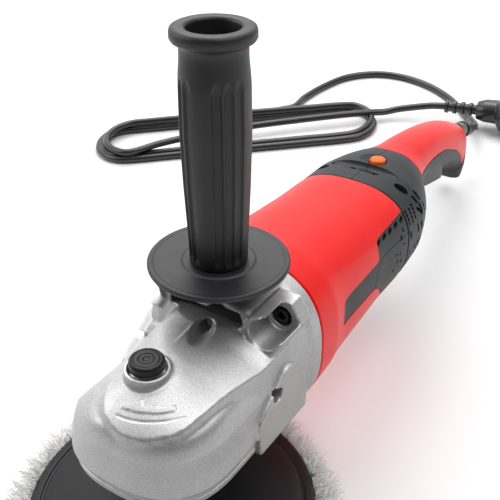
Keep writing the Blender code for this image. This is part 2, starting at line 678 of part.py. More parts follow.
def lock_on_button(body):
    profile = [(0, 122.0), (2.5, 122.0), (2.5, 136.0), (5.8, 136.0), (5.8, 142.0), (4.4, 144.2),
               (0, 144.8)]
    turned("lock_on_button", profile, 16, body, ORANGE, at(0, BUTTON_Y, 0))


def speed_dial(body):
    profile = [(0, -2.2), (DIAL_R - 0.6, -2.2), (DIAL_R, -1.6), (DIAL_R, 1.6), (DIAL_R - 0.6, 2.2), (0, 2.2)]
    turned("speed_dial", profile, 24, body, BLACK, at(0, DIAL_Y, 131.0, (0, 1, 0)))


# ---------------------------------------------------------------- side handle

def side_handle(root):
    cylinder("handle_stud", 4.0, 146.0, 190.0, root, STEEL, at(0, HANDLE_Y, 0), segments=12)
    profile = [(4.4, GUARD_Z), (GUARD_R - 0.8, GUARD_Z), (GUARD_R, 160.0), (GUARD_R, 161.4),
               (GUARD_R - 0.8, 162.2), (19.0, 161.5), (16.0, 162.0), (4.4, 162.0)]
    turned("handle_guard", profile, 36, root, BLACK, at(0, HANDLE_Y, 0), closed=True)
    profile = [(0, 192.0), (4.4, 192.0), (4.4, GRIP_Z0), (15.2, GRIP_Z0), (15.4, 172.0), (16.8, 205.0),
               (17.5, 235.0), (17.2, 258.0), (16.1, 270.0), (16.1, 275.5), (20.1, 278.4),
               (20.1, 282.0), (18.8, GRIP_Z1), (12.7, GRIP_Z1), (11.4, 206.0), (0, 206.0)]
    turned("handle_grip", profile, 24, root, BLACK, at(0, HANDLE_Y, 0))


# ---------------------------------------------------------------- lead, in the world frame

HANK_CENTRE, HANK_TURN = Vector((-222.0, 221.0)), math.radians(35.9)
HANK_HALF, HANK_R, HANK_TOP = 112.0, 37.0, 17.0
PLUG_START, PLUG_TURN, PLUG_RISE = Vector((-47.0, 335.0, 17.6)), math.radians(7.0), math.radians(2.5)
RUN_OUT = [(0, 274.9, 35.4), (-1, 288, 28.8), (-4.5, 304, 20.0), (-11, 322, 11.8), (-23, 342, 6.0),
           (-40, 360, 4.0), (-62, 379, 3.6), (-90, 394, 3.6), (-122, 401, 3.6), (-153, 396, 3.6),
           (-179, 376, 3.6), (-193, 345, 3.6), (-199.5, 313, 3.9), (-201.4, 285.4, 4.5)]


def bezier_route(points, spacing):
    """Evenly spaced points on one smooth curve through the given points."""
    spots = [Vector(p) for p in points]
    dense = []
    for k in range(len(spots) - 1):
        before = spots[max(k - 1, 0)]
        after = spots[min(k + 2, len(spots) - 1)]
        near = spots[k] + (spots[k + 1] - before) / 6
        far = spots[k + 1] - (after - spots[k]) / 6
        dense += interpolate_bezier(spots[k], near, far, spots[k + 1], 25)[:-1]
    dense.append(spots[-1])
    total = sum((b - a).length for a, b in zip(dense, dense[1:]))
    count = max(2, round(total / spacing))
    route, gone, k = [dense[0]], 0.0, 0
    for n in range(1, count):
        target = total * n / count
        while gone + (dense[k + 1] - dense[k]).length < target:
            gone += (dense[k + 1] - dense[k]).length
            k += 1
        step = dense[k + 1] - dense[k]
        route.append(dense[k] + step * ((target - gone) / step.length))
    return route + [dense[-1]]


def cord_tube(name, points):
    curve = bpy.data.curves.new(name, "CURVE")
    curve.dimensions = "3D"
    curve.bevel_depth = CORD_R * MM
    curve.bevel_resolution = 2
    curve.use_fill_caps = True
    route = bezier_route(points, 15.0)
    spline = curve.splines.new("POLY")
    spline.points.add(len(route) - 1)
    for spot, place in zip(spline.points, route):
        spot.co = (*(place * MM), 1.0)
    obj = bpy.data.objects.new(name, curve)
    bpy.context.collection.objects.link(obj)
    colour(obj, BLACK)


def cord_hank():
    """Closed solid of the folded lead: an extruded outline with round ends."""
    outline = []
    for end, first in ((1, -90), (-1, 90)):
        for a in spread(first, first + 180, 9):
            x = end * HANK_HALF + HANK_R * math.cos(math.radians(a))
            y = HANK_R * math.sin(math.radians(a))
            turned_x = x * math.cos(HANK_TURN) - y * math.sin(HANK_TURN)
            turned_y = x * math.sin(HANK_TURN) + y * math.cos(HANK_TURN)
            outline.append((HANK_CENTRE.x + turned_x, HANK_CENTRE.y + turned_y))
    prism("cord_hank", outline, 0.2, HANK_TOP, None, BLACK)


def plug_axis():
    return Vector((math.cos(PLUG_TURN) * math.cos(PLUG_RISE), math.sin(PLUG_TURN) * math.cos(PLUG_RISE),
                   math.sin(PLUG_RISE)))


def plug():
    """Two-pin mains plug that lies on the ground, with its ribbed strain relief."""
    place = at(*PLUG_START, plug_axis())
    profile = [(CORD_R + 0.3, 0)]
    for k in range(4):
        low = 8.0 * k
        profile += [(6.4, low + 0.2), (6.4, low + 3.4), (4.9, low + 3.8), (4.9, low + 7.6)]
    profile += [(7.0, 32.0), (CORD_R + 0.3, 32.0)]
    turned("plug_relief", profile, 12, None, BLACK, place, closed=True)
    profile = [(0, 32.3), (9.0, 32.3), (11.5, 40.0), (12.0, 52.0), (18.0, 56.0), (19.3, 58.0), (19.3, 74.0),
               (17.8, 76.0), (0, 76.0)]
    turned("plug_body", profile, 24, None, BLACK, place)
    for k, side in enumerate((-1, 1)):
        pin = place @ Matrix.Translation((9.5 * side, 0, 0))
        profile = [(0, 76.3), (2.4, 76.3), (2.4, 93.5), (1.6, 95.3), (0, 95.3)]
        turned(f"plug_pin_{k + 1}", profile, 12, None, STEEL, pin)


def lead():
    cord_tube("cord_run", RUN_OUT)
    start = PLUG_START - plug_axis() * 0.4
    leave = HANK_CENTRE + Matrix.Rotation(HANK_TURN, 2) @ Vector((HANK_HALF + HANK_R + 0.8, 5.0))
    cord_tube("cord_plug_run", [(leave.x, leave.y, 9.0), (-92, 320.5, 11.0), (-76, 327.5, 13.6),
                                (-61, 332.4, 16.2), tuple(start)])
    cord_hank()
    plug()


# ---------------------------------------------------------------- assembly

MOVING = {"spindle": (0, 0, 60), "armature": (0, 60, MOTOR_Z), "lock": (0, LOCK_Y, 131),
          "lock_on": (0, BUTTON_Y, 140), "dial": (0, DIAL_Y, 131), "trigger": TRIGGER_PIVOT}


def set_down(machine, solids):
    """Lean the machine back, then move it so that it stands on z = 0 and is centred on the origin."""
    machine.rotation_euler = (-LEAN, 0, 0)
    bpy.context.view_layer.update()
    spots = [solid.matrix_world @ v.co for solid in solids for v in solid.data.vertices]
    low_y, high_y = min(p.y for p in spots), max(p.y for p in spots)
    machine.location = (0, -(low_y + high_y) / 2, -min(p.z for p in spots))


def main():
    clear_scene()
    machine = add_empty("machine", (0, 0, 0))
    root = Body(machine, Vector((0, 0, 0)))
    moving = {name: add_body(f"{name}_axis", pivot, machine) for name, pivot in MOVING.items()}
    gear_head_fixed(root)
    motor_fixed(root)
    rear_fixed(root)
    side_handle(root)
    spindle(moving["spindle"])
    pad(moving["spindle"])
    armature(moving["armature"])
    lock_button(moving["lock"])
    helix("lock_spring", 4.6, 0.5, 127.5, 130.9, 3, root, STEEL, at(0, LOCK_Y, 0))
    lock_on_button(moving["lock_on"])
    speed_dial(moving["dial"])
    trigger(moving["trigger"])
    solids = [obj for obj in bpy.data.objects if obj.type == "MESH" and not obj.hide_render]
    set_down(machine, solids)
    lead()


main()
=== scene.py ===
"""The rotary polisher's looks: cast gear case, moulded shells, wool bonnet and mains lead."""

import json
import math
import random

import bmesh
import bpy
import numpy as np
from mathutils import Matrix, Vector, noise
from mathutils.geometry import interpolate_bezier


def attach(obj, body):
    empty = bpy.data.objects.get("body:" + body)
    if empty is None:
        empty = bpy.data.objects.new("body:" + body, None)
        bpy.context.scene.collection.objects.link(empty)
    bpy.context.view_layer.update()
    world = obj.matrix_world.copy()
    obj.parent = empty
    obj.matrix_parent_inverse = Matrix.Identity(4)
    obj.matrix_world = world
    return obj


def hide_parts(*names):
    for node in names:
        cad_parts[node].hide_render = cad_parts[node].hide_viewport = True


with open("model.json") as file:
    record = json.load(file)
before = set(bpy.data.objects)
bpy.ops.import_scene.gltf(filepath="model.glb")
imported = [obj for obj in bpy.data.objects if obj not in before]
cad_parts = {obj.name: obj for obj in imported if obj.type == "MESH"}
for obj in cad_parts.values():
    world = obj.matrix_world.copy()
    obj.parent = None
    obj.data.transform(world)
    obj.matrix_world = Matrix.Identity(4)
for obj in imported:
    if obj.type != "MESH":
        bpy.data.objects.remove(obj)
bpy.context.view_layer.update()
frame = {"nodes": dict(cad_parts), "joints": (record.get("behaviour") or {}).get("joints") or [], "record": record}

MM = 0.001


def machine_frame():
    """Placement of the machine's own frame: spindle along Z, wool face at Z = 0, tail towards +Y."""
    spin = next(joint for joint in frame["joints"] if joint["name"] == "spindle_spin")
    face = next(mount for mount in frame["record"]["mounts"] if mount["name"] == "bonnet_face")
    up, pivot = Vector(spin["axis"]).normalized(), Vector(spin["pos_m"])
    origin = pivot + up * (Vector(face["pos_m"]) - pivot).dot(up)
    right = Vector((1, 0, 0))
    axes = Matrix((right, up.cross(right), up)).transposed()
    return Matrix.Translation(origin) @ axes.to_4x4()


MACHINE = machine_frame()
WORLD = Matrix.Identity(4)

# driving sizes in millimetres, the same as the solids they cover
WOOL_R = 90.0
PAD_R = 81.0
CASE_Z = 82.3
MOTOR_Z = 103.0
MOTOR_Y0, MOTOR_Y1 = 77.0, 204.0
HANDLE_Y = 50.0
GUARD_R, GUARD_Z = 37.5, 159.0
GRIP_Z0 = 162.3
LOCK_Y = -12.0
BUTTON_Y = 239.0
DIAL_Y, DIAL_R = 222.5, 12.5
CORD_R = 3.5
CASE_SCREWS = [(x, MOTOR_Z + z) for x in (-36.5, 36.5) for z in (-33.5, 33.5)]
COVER_SCREWS = [(x, y) for x in (-37.5, 37.5) for y in (-23.0, 21.0)]


# ---------------------------------------------------------------- finishes

class Field:
    """A socket that takes part in sums: each operator adds the Math node that works it out."""

    def __init__(self, finish, socket):
        self.finish, self.socket = finish, socket

    def math(self, operation, *terms, clamp=False):
        settings = {"operation": operation, "use_clamp": clamp}
        return self.finish.node("ShaderNodeMath", settings, dict(enumerate(terms)))

    def __add__(self, other):
        return self.math("ADD", self, other)

    def __radd__(self, other):
        return self.math("ADD", other, self)

    def __sub__(self, other):
        return self.math("SUBTRACT", self, other)

    def __rsub__(self, other):
        return self.math("SUBTRACT", other, self)

    def __mul__(self, other):
        return self.math("MULTIPLY", self, other)

    def __rmul__(self, other):
        return self.math("MULTIPLY", other, self)

    def step(self, low, high):
        """0 below low, 1 above high, a straight ramp between."""
        settings = {"clamp": True}
        return self.finish.node("ShaderNodeMapRange", settings, {0: self, 1: low, 2: high})


class Nodes:
    """A node tree, with the one method that adds nodes to it."""

    def __init__(self, tree):
        self.tree = tree

    def put(self, node, sockets):
        for key, value in sockets.items():
            if isinstance(value, Field):
                self.tree.links.new(value.socket, node.inputs[key])
            else:
                node.inputs[key].default_value = value

    def node(self, kind, settings=None, sockets=None, output=0):
        """Adds a node of this type, with its settings first and then its sockets; gives one output."""
        node = self.tree.nodes.new(kind)
        for key, value in (settings or {}).items():
            if key == "stops":
                ramp = node.color_ramp
                while len(ramp.elements) < len(value):
                    ramp.elements.new(0.5)
                for element, (position, colour) in zip(ramp.elements, value):
                    element.position, element.color = position, colour
            else:
                setattr(node, key, value)
        self.put(node, sockets or {})
        return Field(self, node.outputs[output])


class Finish(Nodes):
    """One material: a Principled shader and the nodes that feed it."""

    def __init__(self, name, **surface):
        self.material = bpy.data.materials.new(name)
        self.material.use_nodes = True
        super().__init__(self.material.node_tree)
        self.shader = self.tree.nodes["Principled BSDF"]
        self.surface(**surface)

    def surface(self, **sockets):
        """Sets the shader's sockets, named in lower case with underscores."""
        names = {key: key.replace("_", " ").title().replace("Ior", "IOR") for key in sockets}
        self.put(self.shader, {names[key]: value for key, value in sockets.items()})

    def place(self):
        return self.node("ShaderNodeTexCoord", output="Object")

    def grain(self, size, detail=3.0, rough=0.55, stretch=None):
        """Soft noise whose features are about this many millimetres across."""
        where = self.place()
        if stretch:
            where = self.node("ShaderNodeMapping", {}, {"Vector": where, "Scale": stretch})
        sockets = {"Vector": where, "Scale": 1.0 / (size * MM), "Detail": detail, "Roughness": rough}
        return self.node("ShaderNodeTexNoise", {}, sockets)

    def cells(self, size, feature="F1"):
        sockets = {"Vector": self.place(), "Scale": 1.0 / (size * MM)}
        return self.node("ShaderNodeTexVoronoi", {"feature": feature}, sockets)

    def blend(self, share, first, second):
        """Colour between two others, by share."""
        sockets = {0: share, 6: first, 7: second}
        return self.node("ShaderNodeMix", {"data_type": "RGBA"}, sockets, output=2)

    def relief(self, height, depth, strength=1.0):
        """Bumps the surface by a height field, with its depth in millimetres."""
        sockets = {"Height": height, "Distance": depth * MM, "Strength": strength}
        self.surface(normal=self.node("ShaderNodeBump", {}, sockets))

    def edges(self, low=0.52, high=0.6):
        """1 on outer edges and 0 elsewhere."""
        return self.node("ShaderNodeNewGeometry", output="Pointiness").step(low, high)


def grey(value):
    return (value, value, value, 1.0)


def cast_aluminium():
    finish = Finish("cast_aluminium", metallic=0.82)
    sand, pores, cloud = finish.grain(0.75, 2.0, 0.7), finish.grain(0.35, 1.0), finish.grain(14.0)
    tone = finish.blend(sand.step(0.3, 0.7), grey(0.44), grey(0.72))
    tone = finish.blend(cloud.step(0.3, 0.8) * 0.25, tone, grey(0.42))
    tone = finish.blend(finish.edges() * 0.6, tone, grey(0.82))
    # Painted shade: faces whose normals point less upward are blended towards near-black, shade on the walls away
    # from the lamps painted into the colour; tops keep the lit tone.
    facing = finish.node("ShaderNodeNewGeometry", output="Normal")
    upward_for_painted_shade = finish.node("ShaderNodeSeparateXYZ", {}, {0: facing}, output=2)
    tone = finish.blend(upward_for_painted_shade.step(0.0, 0.8), finish.blend(0.42, tone, grey(0.10)), tone)
    finish.surface(base_color=tone, roughness=0.36 + 0.18 * sand)
    finish.relief(sand * 0.6 + pores * 0.4, 0.2, 0.6)
    return finish.material


def moulded_plastic(name, colour, dark, roughness, pebble=0.0, coat=0.0):
    """Injection-moulded plastic: faint flow clouds, fine pebble, paler rubbed edges."""
    finish = Finish(name, coat_weight=coat, coat_roughness=0.25, specular_ior_level=0.26)
    cloud, fine = finish.grain(22.0, 3.0), finish.grain(0.5, 2.0)
    tone = finish.blend(cloud.step(0.35, 0.75) * 0.5, colour, dark)
    pale = tuple(min(1.0, 1.25 * c + 0.01) for c in colour[:3]) + (1.0,)
    tone = finish.blend(finish.edges(0.54, 0.64) * 0.4, tone, pale)
    finish.surface(base_color=tone, roughness=roughness + 0.08 * (fine - 0.5) + 0.05 * cloud)
    finish.relief(fine, max(pebble, 0.004))
    return finish.material


def black_rubber():
    finish = Finish("black_rubber")
    cloud, fine = finish.grain(9.0, 4.0), finish.grain(0.4, 2.0)
    dust = finish.blend(cloud.step(0.5, 0.9) * 0.35, (0.010, 0.010, 0.012, 1), (0.018, 0.019, 0.023, 1))
    finish.surface(base_color=dust, roughness=0.40 + 0.14 * cloud)
    finish.relief(fine, 0.02)
    return finish.material


def metal(name, colour, dark, roughness, stretch=(1, 1, 1)):
    """Machined metal with fine tool marks along one direction."""
    finish = Finish(name, metallic=1.0)
    marks = finish.grain(1.2, 3.0, 0.6, stretch)
    finish.surface(base_color=finish.blend(marks.step(0.3, 0.7), dark, colour),
                   roughness=roughness + 0.15 * marks)
    finish.relief(marks, 0.01)
    return finish.material


def winding_copper():
    finish = Finish("winding_copper", metallic=0.9)
    wave = finish.node("ShaderNodeTexWave", {"bands_direction": "DIAGONAL"},
                       {"Vector": finish.place(), "Scale": 260.0, "Distortion": 2.0})
    tone = finish.blend(wave, (0.28, 0.08, 0.03, 1), (0.72, 0.30, 0.12, 1))
    finish.surface(base_color=tone, roughness=0.35 + 0.2 * wave)
    finish.relief(wave, 0.3)
    return finish.material


def cord_sheath():
    finish = Finish("cord_sheath", coat_weight=0.35, coat_roughness=0.15)
    cloud = finish.grain(12.0, 3.0)
    finish.surface(base_color=finish.blend(cloud, (0.008, 0.008, 0.009, 1), (0.02, 0.02, 0.022, 1)),
                   roughness=0.30 + 0.12 * cloud)
    finish.relief(finish.grain(1.5, 2.0), 0.02)
    return finish.material


def hook_fabric():
    finish = Finish("hook_fabric")
    loops = finish.cells(1.1)
    finish.surface(base_color=finish.blend(loops, (0.86, 0.85, 0.46, 1), (0.55, 0.53, 0.22, 1)),
                   roughness=0.85 + 0.1 * loops)
    finish.relief(1 - loops, 0.5)
    return finish.material


def wool_fibre():
    finish = Finish("wool_fibre", subsurface_weight=0.15, subsurface_scale=0.004)
    cloud, fine = finish.grain(16.0, 3.0), finish.grain(1.0, 3.0, 0.7)
    tone = finish.blend(cloud.step(0.3, 0.75), (0.90, 0.895, 0.88, 1), (0.97, 0.967, 0.955, 1))
    finish.surface(base_color=tone, roughness=0.86 + 0.1 * fine)
    finish.relief(fine, 0.25)
    return finish.material


def circuit_board():
    finish = Finish("circuit_board")
    tracks = finish.cells(3.0, "DISTANCE_TO_EDGE").step(0.05, 0.08)
    finish.surface(base_color=finish.blend(tracks, (0.55, 0.45, 0.2, 1), (0.02, 0.16, 0.06, 1)),
                   roughness=0.4 + 0.1 * tracks)
    return finish.material


RED, DEEP_RED = (0.84, 0.005, 0.003, 1), (0.72, 0.004, 0.002, 1)
CHARCOAL, DEEP_CHARCOAL = (0.026, 0.028, 0.031, 1), (0.019, 0.020, 0.022, 1)
BLACK, DEEP_BLACK = (0.014, 0.014, 0.016, 1), (0.009, 0.009, 0.01, 1)
ORANGE, DEEP_ORANGE = (0.95, 0.16, 0.02, 1), (0.85, 0.11, 0.015, 1)
FINISHES = {
    "cast_aluminium": cast_aluminium(),
    "red_plastic": moulded_plastic("red_plastic", RED, DEEP_RED, 0.34, 0.006),
    "grey_plastic": moulded_plastic("grey_plastic", CHARCOAL, DEEP_CHARCOAL, 0.46, 0.03),
    "black_plastic": moulded_plastic("black_plastic", BLACK, DEEP_BLACK, 0.34, 0.015),
    "orange_plastic": moulded_plastic("orange_plastic", ORANGE, DEEP_ORANGE, 0.32, 0.008),
    "black_rubber": black_rubber(),
    "bearing_steel": metal("bearing_steel", grey(0.62), grey(0.42), 0.22, (1, 1, 8)),
    "black_steel": metal("black_steel", grey(0.07), grey(0.03), 0.32),
    "laminations": metal("laminations", grey(0.22), grey(0.10), 0.4, (1, 12, 1)),
    "plug_pins": metal("plug_pins", (0.72, 0.68, 0.6, 1), (0.6, 0.56, 0.48, 1), 0.2, (1, 6, 6)),
    "brass": metal("brass", (0.78, 0.56, 0.22, 1), (0.55, 0.38, 0.14, 1), 0.25),
    "carbon": moulded_plastic("carbon", (0.02, 0.02, 0.02, 1), (0.012, 0.012, 0.012, 1), 0.7, 0.05),
    "copper_winding": winding_copper(),
    "cord_black": cord_sheath(),
    "hook_fabric": hook_fabric(),
    "wool": wool_fibre(),
    "circuit_board": circuit_board(),
}


# ---------------------------------------------------------------- mesh helpers

def blank(name, verts, faces):
    """Object from points in millimetres; its mesh keeps the frame that the points are in, in metres."""
    mesh = bpy.data.meshes.new(name)
    mesh.from_pydata((np.asarray([tuple(v) for v in verts], float) * MM).tolist(), [], faces)
    work = bmesh.new()
    work.from_mesh(mesh)
    bmesh.ops.recalc_face_normals(work, faces=work.faces)
    work.to_mesh(mesh)
    work.free()
    obj = bpy.data.objects.new(name, mesh)
    bpy.context.scene.collection.objects.link(obj)
    return obj


def ring_faces(rings, points, wrap):
    faces = []
    for k in range(rings if wrap else rings - 1):
        low, high = k * points, (k + 1) % rings * points
        for i in range(points):
            j = (i + 1) % points
            faces.append((low + i, low + j, high + j, high + i))
    if not wrap:
        faces += [tuple(range(points)), tuple(range((rings - 1) * points, rings * points))]
    return faces


def loft(name, rings, wrap=False):
    return blank(name, [p for ring in rings for p in ring], ring_faces(len(rings), len(rings[0]), wrap))


def at(x, y, z, toward=(0, 0, 1)):
    """Placement with its local Z along toward."""
    return Matrix.Translation((x, y, z)) @ Vector(toward).to_track_quat("Z", "Y").to_matrix().to_4x4()


def rounded(points, radius, steps=4, closed=False):
    """The outline with each corner cut round, at most this far along its sides."""
    spots = [Vector(p) for p in points]
    count, out = len(spots), []
    for k, corner in enumerate(spots):
        if not closed and k in (0, count - 1):
            out.append(corner)
            continue
        ends = []
        for other in (spots[k - 1], spots[(k + 1) % count]):
            side = other - corner
            ends.append(corner + side * min(radius / side.length, 0.45))
        for i in range(steps + 1):
            t = i / steps
            out.append(ends[0] * (1 - t) ** 2 + corner * (2 * t * (1 - t)) + ends[1] * t ** 2)
    return out


def turned(name, profile, place=None, segments=96, round_by=0.0, shape=None):
    """Solid of revolution of (radius, height) points; shape(radius, height, angle) may change the radius."""
    place = place or Matrix.Identity(4)
    profile = rounded(profile, round_by) if round_by else [Vector(p) for p in profile]
    verts, rows = [], []
    for radius, height in profile:
        angles = [0.0] if radius < 1e-6 else [2 * math.pi * i / segments for i in range(segments)]
        rows.append(range(len(verts), len(verts) + len(angles)))
        for a in angles:
            r = shape(radius, height, a) if shape else radius
            verts.append(place @ Vector((r * math.cos(a), r * math.sin(a), height)))
    faces = []
    for low, high in zip(rows, rows[1:]):
        for i in range(segments):
            j = (i + 1) % segments
            corners = [low[i % len(low)], low[j % len(low)], high[j % len(high)], high[i % len(high)]]
            face = tuple(dict.fromkeys(corners))
            if len(face) > 2:
                faces.append(face)
    return blank(name, verts, faces)


def ring_profile(inner, profile):
    """Closes a turned profile of a ring with a hole of radius inner."""
    return [(inner, profile[0][1])] + profile + [(inner, profile[-1][1]), (inner, profile[0][1])]


def cylinder(name, radius, low, high, place=None, segments=48):
    return turned(name, [(0, low), (radius, low), (radius, high), (0, high)], place, segments)


def box(name, low, high, place=None):
    place = place or Matrix.Identity(4)
    rings = [[place @ Vector(p) for p in ((x, low[1], low[2]), (x, high[1], low[2]), (x, high[1], high[2]),
                                          (x, low[1], high[2]))] for x in (low[0], high[0])]
    return loft(name, rings)


def ball(name, centre, radii, toward=(0, 0, 1)):
    """Ellipsoid whose local Z runs along toward."""
    place = at(*centre, toward) @ Matrix.Diagonal((*radii, 1))
    rows = [(math.sin(math.radians(a)), math.cos(math.radians(a))) for a in range(0, 181, 9)]
    return turned(name, [(max(r, 0.0) if 0 < i < 20 else 0, h) for i, (r, h) in enumerate(rows)], place, 32)


def along_motor(x=0.0, z=MOTOR_Z):
    return at(x, 0, z, (0, 1, 0))


def bake(obj):
    """Applies the object's modifiers to its mesh."""
    depsgraph = bpy.context.evaluated_depsgraph_get()
    mesh = bpy.data.meshes.new_from_object(obj.evaluated_get(depsgraph))
    obj.modifiers.clear()
    obj.data = mesh
    return obj


def carve(obj, added=(), cut=()):
    """Joins some guides to the object, cuts others away, and removes them all."""
    for operation, guides in (("UNION", added), ("DIFFERENCE", cut)):
        if guides:
            group = bpy.data.collections.new(operation)
            for guide in guides:
                group.objects.link(guide)
            step = obj.modifiers.new(operation, "BOOLEAN")
            step.operation, step.solver = operation, "EXACT"
            step.operand_type, step.collection = "COLLECTION", group
    bake(obj)
    for guide in [*added, *cut]:
        bpy.data.objects.remove(guide)
    return obj


def soften(obj, cell, passes):
    """Gives the object an even skin of small cells and rounds every edge a little."""
    skin = obj.modifiers.new("skin", "REMESH")
    skin.mode, skin.voxel_size = "VOXEL", cell * MM
    ease = obj.modifiers.new("ease", "SMOOTH")
    ease.factor, ease.iterations = 0.5, passes
    return bake(obj)


def bevelled(obj, width, angle=35, segments=3):
    step = obj.modifiers.new("bevel", "BEVEL")
    step.width, step.segments = width * MM, segments
    step.limit_method, step.angle_limit = "ANGLE", math.radians(angle)
    step.use_clamp_overlap = True
    return bake(obj)


def points_of(obj):
    spots = np.empty(len(obj.data.vertices) * 3, np.float32)
    obj.data.vertices.foreach_get("co", spots)
    return spots.reshape(-1, 3).astype(float) / MM


def move_points(obj, spots):
    obj.data.vertices.foreach_set("co", (spots * MM).astype(np.float32).ravel())
    obj.data.update()


def show(obj, slot, replaced=(), body="root", sharp=40, frame_of=MACHINE):
    """Sets the piece in the world with its finish, on its body, in place of its plain solids."""
    obj.data.transform(frame_of)
    obj.data.materials.clear()
    obj.data.materials.append(FINISHES[slot])
    obj.data.shade_smooth()
    obj.data.set_sharp_from_angle(angle=math.radians(sharp))
    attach(obj, body)
    if replaced:
        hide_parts(*replaced)
    return obj


def signed_power(value, power):
    return np.sign(value) * np.abs(value) ** power


def ramp(value, low, high):
    """Smooth step from 0 at low to 1 at high."""
    t = np.clip((value - low) / (high - low), 0.0, 1.0)
    return t * t * (3 - 2 * t)


# ---------------------------------------------------------------- gear case

def case_outline(inset, rear=60.0, count=81):
    """Plan of the gear case: a squarish nose about the spindle and straight flanks."""
    half, reach = 44.9 - inset, 45.4 - inset
    a = np.linspace(math.pi, 2 * math.pi, count)
    arc = zip(half * signed_power(np.cos(a), 2 / 2.55), reach * signed_power(np.sin(a), 2 / 2.55))
    flank = [(half, y) for y in np.linspace(3.0, rear, 20)]
    back = [(half * k, rear) for k in (0.7, 0.35, 0.0, -0.35, -0.7)]
    return [*arc, *flank, *back, *((-x, y) for x, y in reversed(flank))]


PLATEAU = [(-46, 66), (-46, 40), (-40, 22), (-33, 5), (-29, -14), (-23, -26), (-12.7, -33.6), (-6, -39),
           (2, -42), (10, -42.4), (18, -40.4), (24.5, -36.6), (30, -31.6), (33.4, -26.2), (35.4, -18),
           (36.8, -10), (38.1, 0), (41.0, 12.4), (44.0, 26), (45.4, 38), (46, 66)]


def inside_by(outline, x, y):
    """Distance in from the nearest side of the closed outline; negative outside."""
    nearest, inside = np.full(x.shape, 1e9), np.zeros(x.shape, bool)
    for k, (x0, y0) in enumerate(outline):
        x1, y1 = outline[(k + 1) % len(outline)]
        along = (x - x0) * (x1 - x0) + (y - y0) * (y1 - y0)
        along = np.clip(along / ((x1 - x0) ** 2 + (y1 - y0) ** 2), 0, 1)
        nearest = np.minimum(nearest, np.hypot(x - x0 - along * (x1 - x0), y - y0 - along * (y1 - y0)))
        if y1 != y0:
            inside ^= ((y0 > y) != (y1 > y)) & (x < x0 + (y - y0) * (x1 - x0) / (y1 - y0))
    return np.where(inside, nearest, -nearest)


def crown_height(x, y):
    """Top of the plateau: it climbs from the nose to the exhaust slot and rolls off to the left."""
    rise = 116 + 16 * (1 - np.exp(-np.clip(y + 42, 0, 90) / 18)) + 1.5 * np.maximum(0.0, y) / 36
    rise += 1.5 * ramp(y, 24, 36)
    start, width = -4 - 12 * ramp(y, 0, 16), 26 - 13 * ramp(y, 0, 16)
    roll = (6.0 + 8.5 * ramp(y, -25, 0)) * np.clip((start - x) / width, 0, 1) ** 1.5
    return rise - 6.2 * (x / 34) ** 2 - roll


def deck_height(inset, x, y):
    """Top of the shoulder between the case's wall and the plateau."""
    t = np.clip(inset / 3.4, 0, 1)
    deck = 102.0 + 13.0 * (1 - np.exp(-inset / 2.2)) + 0.3 * np.clip(inset, 0, 14)
    deck += 2.0 * ramp(y, -22, 0) * (x > 0) * t
    deck -= 11.0 * ramp(-x, 0, 34) * (1 - 0.6 * np.clip(inset / 14, 0, 1))
    return np.minimum(deck, np.where(x < -20, 112 - 1.2 * (-x - 30), 200))


def case_top(x, y):
    """Height of the case's top over a place in the plan."""
    inset = np.clip(inside_by(case_outline(0.0, 70.0, 33), x, y), 0, None)
    plateau = rounded(PLATEAU, 5.0, 3, closed=True)
    width = 0.7 + 9.0 * ramp(-x, 6, 22)
    share = ramp(inside_by([tuple(p) for p in plateau], x, y) / width, -1, 1)
    deck, crown = deck_height(inset, x, y), crown_height(x, y)
    left = np.where(x < -24, 112 - 1.2 * (-x - 30) + 3 * ramp(y, 10, 24), 200)
    crown = np.where(y < 36, np.minimum(crown, left), crown)
    return np.where(share > 0, deck + (np.maximum(crown, deck) - deck) * share, deck)


def case_body():
    """Shell of the nose: a drafted wall and a top made of ever smaller outlines."""
    levels = ((-1.3, CASE_Z), (-0.6, 88.0), (0.0, 93.0))
    rings = [[(x, y, z) for x, y in case_outline(inset)] for inset, z in levels]
    for inset in np.concatenate([[0.02, 0.2, 0.5, 0.9, 1.4, 2.0], np.arange(2.7, 45.0, 0.9)]):
        outline = np.array(case_outline(inset))
        top = case_top(outline[:, 0], outline[:, 1])
        low = 93.0 + (top - 93.0) * min(1.0, inset / 0.5)
        rings.append([(x, y, z) for (x, y), z in zip(outline, np.broadcast_to(low, len(outline)))])
    return loft("gear_case_body", rings)


def throat_rings():
    """Sections from the exhaust hood back to the flange, each (y, top, bottom, half width, power)."""
    rows = [(36.5, 146.5, 86.0, 33.0, 3.0), (39.0, 147.4, 80.0, 38.5, 3.0), (44.0, 148.0, 68.0, 43.5, 2.9),
            (50.0, 148.4, 60.0, 46.2, 2.8), (56.0, 148.7, 56.5, 47.3, 2.8), (64.0, 149.8, 55.6, 48.0, 2.7),
            (67.0, 151.0, 54.6, 49.3, 2.6), (68.5, 151.9, 54.1, 49.9, 2.5), (76.1, 152.0, 54.0, 50.0, 2.5),
            (76.7, 151.5, 54.5, 49.5, 2.5)]
    rings = []
    for y, top, bottom, half, power in rows:
        a = np.linspace(0, 2 * math.pi, 120, endpoint=False)
        x = half * signed_power(np.cos(a), 2 / power)
        z = (top + bottom) / 2 + (top - bottom) / 2 * signed_power(np.sin(a), 2 / power)
        rings.append([(u, y, w) for u, w in zip(x, z)])
    return rings


def flank_block():
    """Flat-sided foot of the case that reaches down over the cover behind the gear chamber."""
    outline = rounded([(17.6, 71.0), (66.0, 71.0), (66.0, 112.0), (44.0, 113.0), (36.0, 107.0), (24.0, 98.5),
                       (17.6, 93.0)], 2.0, 3, closed=True)
    rings = [[(x, y * k + 42 * (1 - k), z * k + 92 * (1 - k)) for y, z in outline]
             for x, k in ((-47.2, 0.97), (-46.4, 1.0), (46.4, 1.0), (47.2, 0.97))]
    return loft("case_flank", rings)


